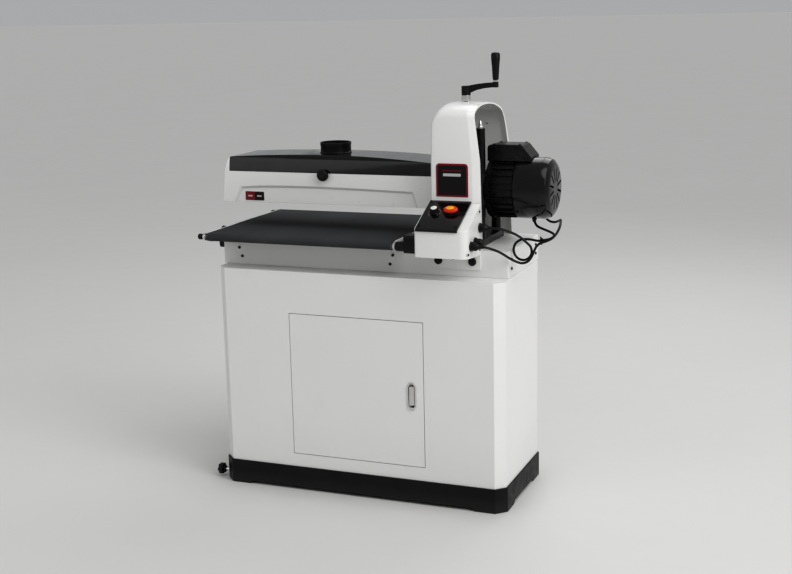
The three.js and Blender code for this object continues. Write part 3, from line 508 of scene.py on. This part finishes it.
def rounded(width, height, radius, steps=5):
    """Outline of a rectangle with round corners about the origin."""
    points = []
    for k, (sx, sy) in enumerate(((1, 1), (-1, 1), (-1, -1), (1, -1))):
        for i in range(steps + 1):
            angle = math.pi / 2 * (k + i / steps)
            points.append((sx * (width / 2 - radius) + radius * math.cos(angle),
                           sy * (height / 2 - radius) + radius * math.sin(angle)))
    return points


def facing(direction):
    """The turn that takes z onto a direction."""
    return direction.to_track_quat("Z", "Y").to_matrix().to_4x4()


def joined(*parts):
    """One bmesh from several, which are used up."""
    first, *others = parts
    for other in others:
        data = bpy.data.meshes.new("part")
        other.to_mesh(data)
        other.free()
        first.from_mesh(data)
        bpy.data.meshes.remove(data)
    return first


def dress(node, material, bevel):
    """Gives a CAD node its material and rounds its edges."""
    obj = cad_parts[node]
    obj.data.materials.clear()
    obj.data.materials.append(material)
    soften(obj, bevel, dissolve=True)


# ---- motor leads ----
def hanging_loop():
    """The loop that lead A makes beside the motor, one point for each angle."""
    angles = (60, 25, -10, -45, -80, -115, -150, 175, 140, 105)
    points = []
    for i, degrees in enumerate(angles):
        angle = math.radians(degrees)
        y = LOOP_Y + LOOP_DEPTH * i / (len(angles) - 1)
        points.append((LOOP_X + LOOP_R * math.cos(angle), y, LOOP_Z + LOOP_R * math.sin(angle)))
    return points


LEAD_EXIT = BOX_RIGHT + 28.3
LEAD_A = [(LEAD_EXIT, 62, 900), (LEAD_EXIT + 14, 62, 900), (472, 69.5, 896.5), (497, 79, 887),
          (522, 86.5, 873), *hanging_loop(), (545, 117, 861), (571, 114.5, 858.3), (584, 114.4, 859.5),
          (594, 115.3, 861.8), (605, 117.5, 864), (613.5, 124.5, 867.5), (617, 135.5, 871.5),
          (613, 147, 875), (601, 158.5, 878.5), (580, 174.5, 882), (558, 193, 885), (543, 207, 888.5),
          (533.8, 216.8, 896.5), (530, MID_Y - 23.2, DRUM_Z - 95.2)]
LEAD_B = [(LEAD_EXIT, -25, 857), (LEAD_EXIT + 12, -25, 857), (453, -21.5, 854.5), (464.5, -12, 849),
          (475, 5, 841), (485, 30, 828), (499, 62, 808.5), (514, 79, 796.5), (532, 84, 792), (549, 86.5, 799),
          (560.5, 90.5, 816), (567, 95.5, 834), (574, 99.7, 846.5), (583, 103, 853.3), (594, 105.6, 857.2),
          (604, 107, 861), (616.5, 111, 868), (626.5, 120, 879), (631, 135, 891), (630, 157, 900),
          (624, 187, 906), (615, 222, 907), (605, 255, 902), (592, 281, 894), (575, 297, 887.5),
          (559, 304, 888), (547, 305, 896), (541, 302, 907), (540, MID_Y + 52, DRUM_Z - 82.4)]


def smooth_route(points, steps=8):
    """Centripetal Catmull-Rom curve through the points."""
    pts = [Vector(p) for p in points]
    pts = [2 * pts[0] - pts[1], *pts, 2 * pts[-1] - pts[-2]]
    route = []
    for p0, p1, p2, p3 in zip(pts, pts[1:], pts[2:], pts[3:]):
        t0 = 0.0
        t1 = t0 + (p1 - p0).length ** 0.5
        t2 = t1 + (p2 - p1).length ** 0.5
        t3 = t2 + (p3 - p2).length ** 0.5
        for k in range(steps):
            t = t1 + (t2 - t1) * k / steps
            a1 = p0.lerp(p1, (t - t0) / (t1 - t0))
            a2 = p1.lerp(p2, (t - t1) / (t2 - t1))
            a3 = p2.lerp(p3, (t - t2) / (t3 - t2))
            b1 = a1.lerp(a2, (t - t0) / (t2 - t0))
            b2 = a2.lerp(a3, (t - t1) / (t3 - t1))
            route.append(b1.lerp(b2, (t - t1) / (t2 - t1)))
    route.append(pts[-2])
    return route


def tube_along(route, radius, sides=16):
    """A closed tube whose rings follow the route without twisting."""
    bm = bmesh.new()
    normal = Vector((0, 0, 1))
    rings = []
    for i, point in enumerate(route):
        ahead = route[min(i + 1, len(route) - 1)] - route[max(i - 1, 0)]
        ahead.normalize()
        normal = (normal - ahead * normal.dot(ahead)).normalized()
        side = ahead.cross(normal)
        ring = []
        for k in range(sides):
            angle = 2 * math.pi * k / sides
            ring.append(bm.verts.new(point + radius * (math.cos(angle) * normal + math.sin(angle) * side)))
        rings.append(ring)
    for a, b in zip(rings, rings[1:]):
        for k in range(sides):
            j = (k + 1) % sides
            bm.faces.new((a[k], a[j], b[j], b[k]))
    bm.faces.new(rings[0][::-1])
    bm.faces.new(rings[-1])
    return bm


def make_lead(name, points, nodes):
    route = smooth_route(points)
    obj = mesh_object(name, tube_along(route, LEAD_R), CABLE)
    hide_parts(*nodes)
    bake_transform(obj)


def make_leads():
    make_lead("motor_lead_a", LEAD_A, ["lead_a_lower", "lead_a_upper"])
    make_lead("motor_lead_b", LEAD_B, ["lead_b_lower", "lead_b_upper"])


make_leads()


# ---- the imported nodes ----
DRESSING = {
    "plinth": (BLACK, 2.5),
    "cabinet_shell": (WHITE, 1.6),
    "cabinet_door": (WHITE, 0.8),
    "door_hinge_rod": (STEEL, 0.2),
    "latch_housing": (NICKEL, 0.7),
    "latch_lever": (NICKEL, 0.6),
    "base_frame": (WHITE, 1.6),
    "box_bracket": (WHITE, 0.8),
    "conveyor_belt": (BELT, 0.3),
    "conveyor_bed": (WHITE, 0.5),
    "feed_gearmotor": (CAST_BLACK, 1.0),
    "feed_coupling": (CAST_BLACK, 1.2),
    "drive_roller": (STEEL, 0.4),
    "idler_roller": (STEEL, 0.4),
    "table_lever": (PLASTIC, 1.0),
    "levelling_knob": (PLASTIC, 1.2),
    "control_box": (CAST_WHITE, 1.6),
    "control_panel": (GLOSS, 0.9),
    "column_cover": (CAST_WHITE, 1.3),
    "guide_column": (CAST_BLACK, 1.2),
    "screw_collar": (NICKEL, 0.8),
    "lead_screw": (THREAD, 0.4),
    "crank_arm": (CAST_BLACK, 2.2),
    "crank_grip": (PLASTIC, 1.2),
    "carriage": (CAST_BLACK, 1.5),
    "nut_bracket": (CAST_BLACK, 1.2),
    "bearing_inboard": (STEEL, 0.6),
    "bearing_outboard": (STEEL, 0.6),
    "lead_nut": (BRONZE, 0.6),
    "hood_body": (CAST_WHITE, 1.8),
    "hood_cover": (GLOSS, 1.2),
    "hood_hinge_pin": (STEEL, 0.4),
    "dust_port": (PLASTIC, 0.8),
    "drum": (ALUMINIUM, 0.6),
    "abrasive_wrap": (ABRASIVE, 0.2),
    "drum_shaft": (STEEL, 0.6),
    "motor_rotor": (STEEL, 0.5),
    "pressure_roller_front": (RUBBER, 0.8),
    "pressure_roller_rear": (RUBBER, 0.8),
    "motor_body": (CAST_BLACK, 0.9),
    "fan_cover": (GLOSS, 1.4),
    "junction_box": (CAST_BLACK, 2.4),
}
for side in ("left", "right"):
    DRESSING[f"roller_hanger_{side}"] = (STEEL, 0.5)
    for end in ("front", "rear"):
        DRESSING[f"roller_bracket_{side}_{end}"] = (ALUMINIUM, 0.9)
for dressed, (paint_on_it, edge_radius) in DRESSING.items():
    dress(dressed, paint_on_it, edge_radius)


def on_panel(x, y, lift=0.0):
    """A point on the control panel's sloping face, lift millimetres above it."""
    z = PANEL_Z + (y - BOX_FRONT) * math.tan(PANEL_SLOPE)
    return (x, y - lift * math.sin(PANEL_SLOPE), z + lift * math.cos(PANEL_SLOPE))


# ---- screws ----
def hexagon(size):
    """A wave for lathe() that turns radii up to size into a hexagon and leaves larger ones round."""
    def wave(angle, radius):
        if radius > size:
            return radius
        return radius / math.cos((angle + math.pi / 6) % (math.pi / 3) - math.pi / 6)
    return wave


def socket_head(radius, height):
    """A socket screw's head standing height above 0, with its hexagon recess."""
    key = radius * 0.55
    return lathe([(0, 0), (radius, 0), (radius, height * 0.8), (radius * 0.9, height), (key, height),
                  (key, height * 0.45), (0, height * 0.45)], 24, hexagon(key * 1.01))


def hex_head(radius, height):
    """A hexagon bolt's head on a washer."""
    washer = lathe([(0, 0), (radius * 1.35, 0), (radius * 1.35, height * 0.2), (0, height * 0.2)], 24)
    head = lathe([(0, height * 0.2), (radius, height * 0.2), (radius, height * 0.85), (radius * 0.86, height),
                  (0, height)], 24, hexagon(radius * 1.01))
    return joined(washer, head)


def flipped(bm):
    """Turns a piece built upwards to face down its axis."""
    bmesh.ops.rotate(bm, verts=bm.verts, cent=(0, 0, 0), matrix=Matrix.Rotation(math.pi, 3, "X"))
    return bm


def make_base_screws():
    for i, (x, z) in enumerate(((-445, 797), (-435, 768.5), (106, 797.4), (96.5, 768.4))):
        piece(f"base_screw_front_{i + 1}", flipped(socket_head(*BASE_SCREW)), OXIDE, "stand", 0.3,
              ALONG_Y, (x, BASE_FRONT - 0.1, z))
    for i, (x, z) in enumerate(((-445, 797), (-445, 768), (430, 797), (430, 768))):
        piece(f"base_screw_rear_{i + 1}", socket_head(*BASE_SCREW), OXIDE, "stand", 0.3, ALONG_Y,
              (x, BASE_REAR + 0.1, z))
    for i, (y, z) in enumerate(((110, 797), (380, 797), (110, 768), (380, 768))):
        piece(f"base_screw_right_{i + 1}", socket_head(*BASE_SCREW), OXIDE, "stand", 0.3, ALONG_X,
              (488.1, y, z))


def make_bracket_caps():
    """The two round black screw caps below the control box."""
    profile = [(0, 0), (13, 0), (13, 3), (11.6, 5.6), (7.5, 7.6), (0, 8.2)]
    for i, x in enumerate((262, 374)):
        piece(f"bracket_cap_{i + 1}", flipped(lathe(profile, 40)), PLASTIC, "stand", 0.5,
              ALONG_Y, (x, 69.9, 791))


# ---- conveyor ----
def make_roller_ends():
    """Black caps on the roller ends, and the bolts that set the belt's tension."""
    cap = [(0, 0), (9.6, 0), (9.6, 3), (8.4, 4), (8.4, 7), (9.6, 8), (9.6, 16), (7.6, 19.4), (0, 20)]
    for name, y in (("front", DRIVE_Y), ("rear", IDLER_Y)):
        piece(f"roller_cap_left_{name}", flipped(lathe(cap, 40)), PLASTIC, "stand", 0.4,
              ALONG_X, (BELT_LEFT - 14.6, y, ROLLER_Z))
        inward = 1 if y < MID_Y else -1
        for k, reach in enumerate((30, 58)):
            piece(f"bracket_bolt_left_{name}_{k + 1}", flipped(hex_head(4.2, 4.6)), OXIDE, "stand",
                  0.3, ALONG_X, (BELT_LEFT - 14.5, y + inward * reach, ROLLER_Z))
            if name == "rear" or k == 1:
                piece(f"bracket_bolt_right_{name}_{k + 1}", hex_head(4.2, 4.6), OXIDE, "stand",
                      0.3, ALONG_X, (BELT_RIGHT + 13.5, y + inward * reach, ROLLER_Z))
    piece("roller_cap_right_rear", lathe(cap, 40), PLASTIC, "stand", 0.4, ALONG_X,
          (BELT_RIGHT + 14.4, IDLER_Y, ROLLER_Z))


# ---- control box ----
def make_speed_knob():
    skirt = [(0, 0.4), (15, 0.4), (15, 2.4), (13.4, 4.2), (0, 4.2)]
    grip = [(0, 4), (12.4, 4), (11.6, 15.6), (10.4, 17.2), (0, 17.2)]

    def flutes(angle, radius):
        return radius - (0.7 * (0.5 + 0.5 * math.cos(18 * angle)) if radius > 9 else 0)

    stem = [(0, -16), (4, -16), (4, 0.5), (0, 0.5)]
    knob = piece("speed_knob_grip", joined(lathe(skirt, 64), lathe(grip, 144, flutes), lathe(stem, 24)),
                 PLASTIC, "dial", 0.0, ON_PANEL, on_panel(*DIAL))
    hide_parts("speed_knob")
    cap = [(0, 17), (10, 17), (10, 17.6), (9.2, 18), (0, 18)]
    piece("speed_knob_cap", lathe(cap, 48), IVORY, "dial", 0.0, ON_PANEL, on_panel(*DIAL))
    piece("speed_knob_pointer", slab([(-0.7, 8.8), (0.7, 8.8), (0.7, 14.6), (-0.7, 14.6)], 2.2, 4.5),
          PRINT_WHITE, "dial", 0.2, ON_PANEL, on_panel(*DIAL))


def make_dial_scale():
    """Eleven printed ticks round the speed knob, and the red arc that joins them."""
    ticks = []
    for i in range(11):
        angle = math.radians(225 - 27 * i)
        tick = slab([(18.2, -0.4), (21.4, -0.4), (21.4, 0.4), (18.2, 0.4)], 0.02, 0.2)
        bmesh.ops.rotate(tick, verts=tick.verts, cent=(0, 0, 0), matrix=Matrix.Rotation(angle, 3, "Z"))
        ticks.append(tick)
    piece("dial_ticks", joined(*ticks), PRINT_WHITE, "stand", 0.0, ON_PANEL, on_panel(*DIAL))
    steps = 40
    angles = [math.radians(225 - 270 * i / steps) for i in range(steps + 1)]
    arc = [(17.6 * math.cos(a), 17.6 * math.sin(a)) for a in angles]
    arc += [(16.2 * math.cos(a), 16.2 * math.sin(a)) for a in reversed(angles)]
    piece("dial_arc", slab(arc, 0.02, 0.2), PLATE_RED, "stand", 0.0, ON_PANEL, on_panel(*DIAL))


def oval(bm, stretch=1.45):
    bmesh.ops.scale(bm, vec=(stretch, 1, 1), verts=bm.verts)
    return bm


def make_stop_switch():
    bezel = [(14.6, 0.1), (18.4, 0.1), (18.4, 1.2), (17.6, 1.8), (14.6, 1.8)]
    piece("switch_bezel", oval(lathe(bezel, 72)), PLASTIC, "stand", 0.0, ON_PANEL,
          on_panel(*SWITCH))
    paddle = [(0, 6.2), (13.6, 6.2), (15.6, 8.2), (16, 10.5), (15.6, 13.6), (14.2, 16.2), (11, 18),
              (9.2, 18.3), (9.0, 17.6), (0, 17.6)]
    stem = [(0, -16), (6, -16), (6, 7), (0, 7)]
    made = piece("stop_paddle_cap", joined(oval(lathe(paddle, 72)), lathe(stem, 32)), RED, "stop",
                 0.0, ON_PANEL, on_panel(*SWITCH))
    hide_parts("stop_paddle")
    # Painted highlight: an amber cap colours the top of the red paddle where the light falls on it.
    painted_highlight_top = [(0, 17.4), (8.7, 17.4), (8.7, 18.3), (7.4, 18.9), (0, 19)]
    piece("stop_paddle_painted_highlight", oval(lathe(painted_highlight_top, 64)), PAINTED_HIGHLIGHT_AMBER, "stop", 0.0, ON_PANEL,
          on_panel(*SWITCH))


def make_panel_screws():
    corners = [(PANEL_LEFT + 8, -50), (PANEL_RIGHT - 8, -50), (PANEL_LEFT + 8, 66), (PANEL_RIGHT - 8, 66)]
    for i, (x, y) in enumerate(corners):
        piece(f"panel_screw_{i + 1}", socket_head(3.4, 1.7), OXIDE, "stand", 0.2, ON_PANEL,
              on_panel(x, y))
    for i, x in enumerate((243, 352)):
        piece(f"box_foot_screw_{i + 1}", flipped(socket_head(4, 3)), OXIDE, "stand", 0.3, ALONG_Z,
              (x, -44, 821.6))
    for i, (y, z) in enumerate(((-48, 835), (62, 832), (62, 950))):
        piece(f"box_side_screw_{i + 1}", socket_head(3.6, 2.4), OXIDE, "stand", 0.2, ALONG_X,
              (BOX_RIGHT, y, z))


def make_glands():
    """Cable glands: hexagon body, fluted dome nut and a rubber tail where a lead comes out."""
    def flutes(angle, radius):
        return radius - (0.5 * (0.5 + 0.5 * math.cos(16 * angle)) if radius > 10 else 0)

    for name, (y, z) in GLANDS.items():
        body = lathe([(0, -7), (9, -7), (9, 0.3), (14, 0.3), (14, 6.4), (11.2, 6.8), (11.2, 8.4), (0, 8.4)],
                     48, hexagon(0))
        hexed = lathe([(0, 0.35), (13.2, 0.35), (13.2, 6.2), (12.4, 7), (0, 7)], 48, hexagon(13.3))
        dome = lathe([(0, 8), (12.4, 8), (12.6, 17), (11.6, 20.6), (9, 24.4), (7.4, 27.4), (6.6, 28),
                      (0, 28)], 128, flutes)
        gland = piece(f"{name}_fitting", joined(body, hexed, dome), PLASTIC, "stand", 0.0,
                      ALONG_X, (BOX_RIGHT, y, z))
        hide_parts(name)
        if name != "gland_rear":
            tail = [(3.95, 28.1), (6.4, 28.1), (5.9, 34), (4.9, 43), (3.95, 43)]
            piece(f"{name}_tail", lathe(tail, 40), CABLE, "stand", 0.3, ALONG_X, (BOX_RIGHT, y, z))


# ---- plates ----
def plate_outline(width, height, radius, steps=6):
    """A plate with round upper corners and nearly square lower ones; v runs downwards."""
    points = []
    for cx, cy, r, start in ((1, -1, radius, -90), (1, 1, 1.5, 0), (-1, 1, 1.5, 90), (-1, -1, radius, 180)):
        for i in range(steps + 1):
            angle = math.radians(start + 90 * i / steps)
            points.append((cx * (width / 2 - r) + r * math.cos(angle),
                           cy * (height / 2 - r) + r * math.sin(angle)))
    return points


def make_name_plate():
    """The plate on the column cover: black in a dark red border, with plain bars in place of a name."""
    centre = (PLATE_X, BASE_FRONT, 1042.5)
    piece("name_plate_border", slab(plate_outline(104, 103, 11), -1.2, -0.05), PLATE_RED, "stand",
          0.25, ALONG_Y, centre)
    piece("name_plate_field", slab(plate_outline(93, 92, 7), -1.5, -1.0), PLATE_BLACK, "stand",
          0.15, ALONG_Y, centre)
    piece("name_plate_rule", slab(rounded(64, 2.2, 1), -1.62, -1.4), PLATE_RED, "stand", 0.0,
          ALONG_Y, (PLATE_X, BASE_FRONT, 1072))
    piece("name_plate_bar", slab(rounded(58, 9, 2), -1.62, -1.4), PLATE_GREY, "stand", 0.0,
          ALONG_Y, (PLATE_X, BASE_FRONT, 1059))


def make_hood_badge():
    """The small two-colour badge on the hood, left plain."""
    piece("hood_badge_base", slab(rounded(69, 29, 2.5), -1.0, -0.05), PLATE_BLACK, "head", 0.2,
          ALONG_Y, (-417.5, HOOD_FRONT, BADGE_Z))
    piece("hood_badge_red", slab(rounded(33, 26, 1.6), -1.15, -0.9), PLATE_RED, "head", 0.0,
          ALONG_Y, (-434, HOOD_FRONT, BADGE_Z))
    for i, x in enumerate((-434, -400.5)):
        piece(f"hood_badge_bar_{i + 1}", slab(rounded(17, 5, 1.4), -1.25, -1.1 if i == 0 else -0.95),
              PLATE_GREY, "head", 0.0, ALONG_Y, (x, HOOD_FRONT, BADGE_Z))


# ---- hood ----
def make_hood_knob():
    def flutes(angle, radius):
        return radius - (0.8 * (0.5 + 0.5 * math.cos(20 * angle)) if radius > 15 else 0)

    grip = [(0, -18), (12.6, -18), (16.5, -17.2), (18.9, -14.6), (19.5, -11), (19.5, -6), (17.6, -4),
            (12, -0.4), (0, -0.4)]
    stud = [(0, -1), (4, -1), (4, 14), (0, 14)]
    recess = [(0, -18.05), (9, -18.05), (9, -17.9), (0, -17.9)]
    knob = piece("hood_knob_grip", joined(lathe(grip, 160, flutes), lathe(stud, 24)), PLASTIC, "lid_knob",
                 0.0, ALONG_Y, KNOB)
    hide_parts("hood_knob")
    piece("hood_knob_disc", lathe(recess, 40), GLOSS, "lid_knob", 0.0, ALONG_Y, KNOB)


# ---- plinth ----
def make_levelling_shank():
    """The bright length of the levelling screw between its knob and the plinth."""
    sleeve = [(4.9, 0), (5.25, 0), (5.25, 13.4), (4.9, 13.4)]
    piece("levelling_shank", lathe(sleeve, 48), NICKEL, "levelling_screw", 0.0, ALONG_X, STUD)


# ---- column ----
def make_column_details():
    """The bright nut on the front guide post, and the screws that hold the cover at the back."""
    x, y, z = POST
    nut = [(0, -0.5), (9, -0.5), (9, 5), (6.2, 8), (6.2, 13), (2.4, 24), (0, 25)]
    piece("post_nut", lathe(nut, 40), NICKEL, "stand", 0.4, ALONG_Z, (x, y, z))
    piece("cover_screw_inside", flipped(socket_head(4.2, 2.6)), OXIDE, "stand", 0.3, ALONG_Y,
          (318, 400.6, 1191))
    for i, (x, z) in enumerate(((262, 850), (375, 850), (262, 1060), (375, 1060))):
        piece(f"cover_screw_rear_{i + 1}", socket_head(4.2, 2.8), OXIDE, "stand", 0.3, ALONG_Y,
              (x, 413.9, z))


# ---- crank ----
def make_crank_details():
    collar = [(4.1, 0), (8.6, 0), (8.6, 4.6), (7.8, 5.4), (4.1, 5.4)]
    piece("grip_washer", lathe(collar, 40), NICKEL, "crank", 0.0, ALONG_Z,
          (SCREW_X + GRIP_REACH, MID_Y, 1333.3))
    piece("crank_set_screw", flipped(socket_head(3.4, 1.6)), OXIDE, "crank", 0.2, ALONG_Y,
          (SCREW_X, MID_Y - 14.2, 1305))


# ---- motor ----
def make_motor_details():
    for i in range(4):
        angle = math.pi / 4 + i * math.pi / 2
        direction = Vector((0, math.cos(angle), math.sin(angle)))
        place = Vector((COWL_SCREW_X, MID_Y, DRUM_Z)) + (MOTOR_R - 0.5) * direction
        piece(f"cowl_screw_{i + 1}", hex_head(3.6, 3.4), OXIDE, "head", 0.2, facing(direction),
              place)
    band = [(MOTOR_R - 0.3, -2.2), (MOTOR_R + 0.6, -1.6), (MOTOR_R + 0.6, 1.6), (MOTOR_R - 0.3, 2.2)]
    piece("cowl_bead", lathe(band, 128), GLOSS, "head", 0.0, ALONG_X,
          (COWL_BEAD_X, MID_Y, DRUM_Z))
    for i, (x, y) in enumerate(((404, 209), (404, 281), (487, 209), (487, 281))):
        piece(f"junction_screw_{i + 1}", socket_head(3.4, 2.2), OXIDE, "head", 0.2, ALONG_Z,
              (x, y, 1141.6))
    piece("junction_lid", slab(rounded(96, 84, 5), 0, 1.2), CAST_BLACK, "head", 0.4, ALONG_Z,
          (445.5, MID_Y, 1140.6))


def make_lead_entries():
    """Rubber grommets where the leads go up into the motor."""
    boot = [(3.95, 0), (7.8, 0), (7.8, 2.5), (6.2, 4), (5.0, 11), (3.95, 11)]
    for name, (x, dy, dz) in LEAD_ENTRIES.items():
        direction = Vector((0, dy, dz)).normalized()
        place = Vector((x, MID_Y, DRUM_Z)) + (MOTOR_R + 0.1) * direction
        piece(f"lead_entry_{name}", lathe(boot, 40), CABLE, "head", 0.0, facing(direction), place)


def make_cable_tie():
    """A nylon strap drawn round both leads, with its locking head."""
    ends = (Vector((103.5, 854)), Vector((114.6, 860)))
    along = (ends[1] - ends[0]).normalized()
    across = Vector((-along.y, along.x))

    def band(radius):
        points = []
        for centre, first in ((ends[1], -90), (ends[0], 90)):
            for i in range(13):
                angle = math.radians(first + 15 * i)
                points.append(centre + radius * (math.cos(angle) * along + math.sin(angle) * across))
        return points

    inner, outer = band(4.0), band(5.5)
    bm = bmesh.new()
    edges = ((inner, TIE_LEFT), (outer, TIE_LEFT), (outer, TIE_RIGHT), (inner, TIE_RIGHT))
    loops = [[bm.verts.new((p.x, p.y, x)) for p in ring] for ring, x in edges]
    for a, b in zip(loops, loops[1:] + loops[:1]):
        for i in range(len(a)):
            j = (i + 1) % len(a)
            bm.faces.new((a[i], a[j], b[j], b[i]))
    head = slab([(105, 861.5), (111.5, 864.9), (109.6, 868.4), (103.2, 865)], TIE_LEFT - 1, TIE_RIGHT + 1)
    tail = slab([(103.4, 865), (104.8, 865.8), (97.6, 874.5), (96.6, 873.7)], TIE_LEFT + 0.5,
                TIE_RIGHT - 0.5)
    tie = piece("cable_tie_strap", joined(bm, head, tail), PLASTIC, "head", 0.3, ALONG_X)
    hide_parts("cable_tie")


make_base_screws()
make_bracket_caps()
make_roller_ends()
make_speed_knob()
make_dial_scale()
make_stop_switch()
make_panel_screws()
make_glands()
make_name_plate()
make_hood_badge()
make_hood_knob()
make_levelling_shank()
make_column_details()
make_crank_details()
make_motor_details()
make_lead_entries()
make_cable_tie()


# ---- floor and light ----
def make_floor():
    bm = bmesh.new()
    bmesh.ops.create_grid(bm, x_segments=1, y_segments=1, size=150)
    data = bpy.data.meshes.new("floor")
    bm.to_mesh(data)
    bm.free()
    data.materials.append(pale_floor())
    floor = bpy.data.objects.new("floor", data)
    floor.location = (0, 0, -0.0005)
    bpy.context.scene.collection.objects.link(floor)


def make_light(name, place, target, size, power):
    data = bpy.data.lights.new(name, "AREA")
    data.shape = "DISK"
    data.size = size
    data.energy = power
    light = bpy.data.objects.new(name, data)
    light.location = place
    light.rotation_euler = (Vector(target) - Vector(place)).to_track_quat("-Z", "Y").to_euler()
    bpy.context.scene.collection.objects.link(light)


def make_sun(direction, strength):
    """An even, soft top light, so that the floor stays pale to the horizon."""
    data = bpy.data.lights.new("sky", "SUN")
    data.angle = math.radians(50)
    data.energy = strength
    sun = bpy.data.objects.new("sky", data)
    sun.rotation_euler = Vector(direction).to_track_quat("-Z", "Y").to_euler()
    bpy.context.scene.collection.objects.link(sun)


def make_studio():
    make_floor()
    make_sun((-0.55, 0.3, -1), 0.72)
    make_light("key", (3.6, -1.7, 2.9), (0, 0, 0.7), 2.4, 46)
    make_light("fill", (-2.6, -3.6, 2.6), (0, 0, 0.8), 2.6, 11)
    make_light("rim", (0.4, 2.8, 3.6), (0, 0, 0.9), 3.0, 27)
    world = bpy.data.worlds.new("studio")
    world.use_nodes = True
    background = world.node_tree.nodes["Background"]
    background.inputs["Color"].default_value = (0.94, 0.95, 0.96, 1)
    background.inputs["Strength"].default_value = 0.35
    bpy.context.scene.world = world
    bpy.context.scene.view_settings.view_transform = "Standard"
    bpy.context.scene.view_settings.look = "High Contrast"


make_studio()
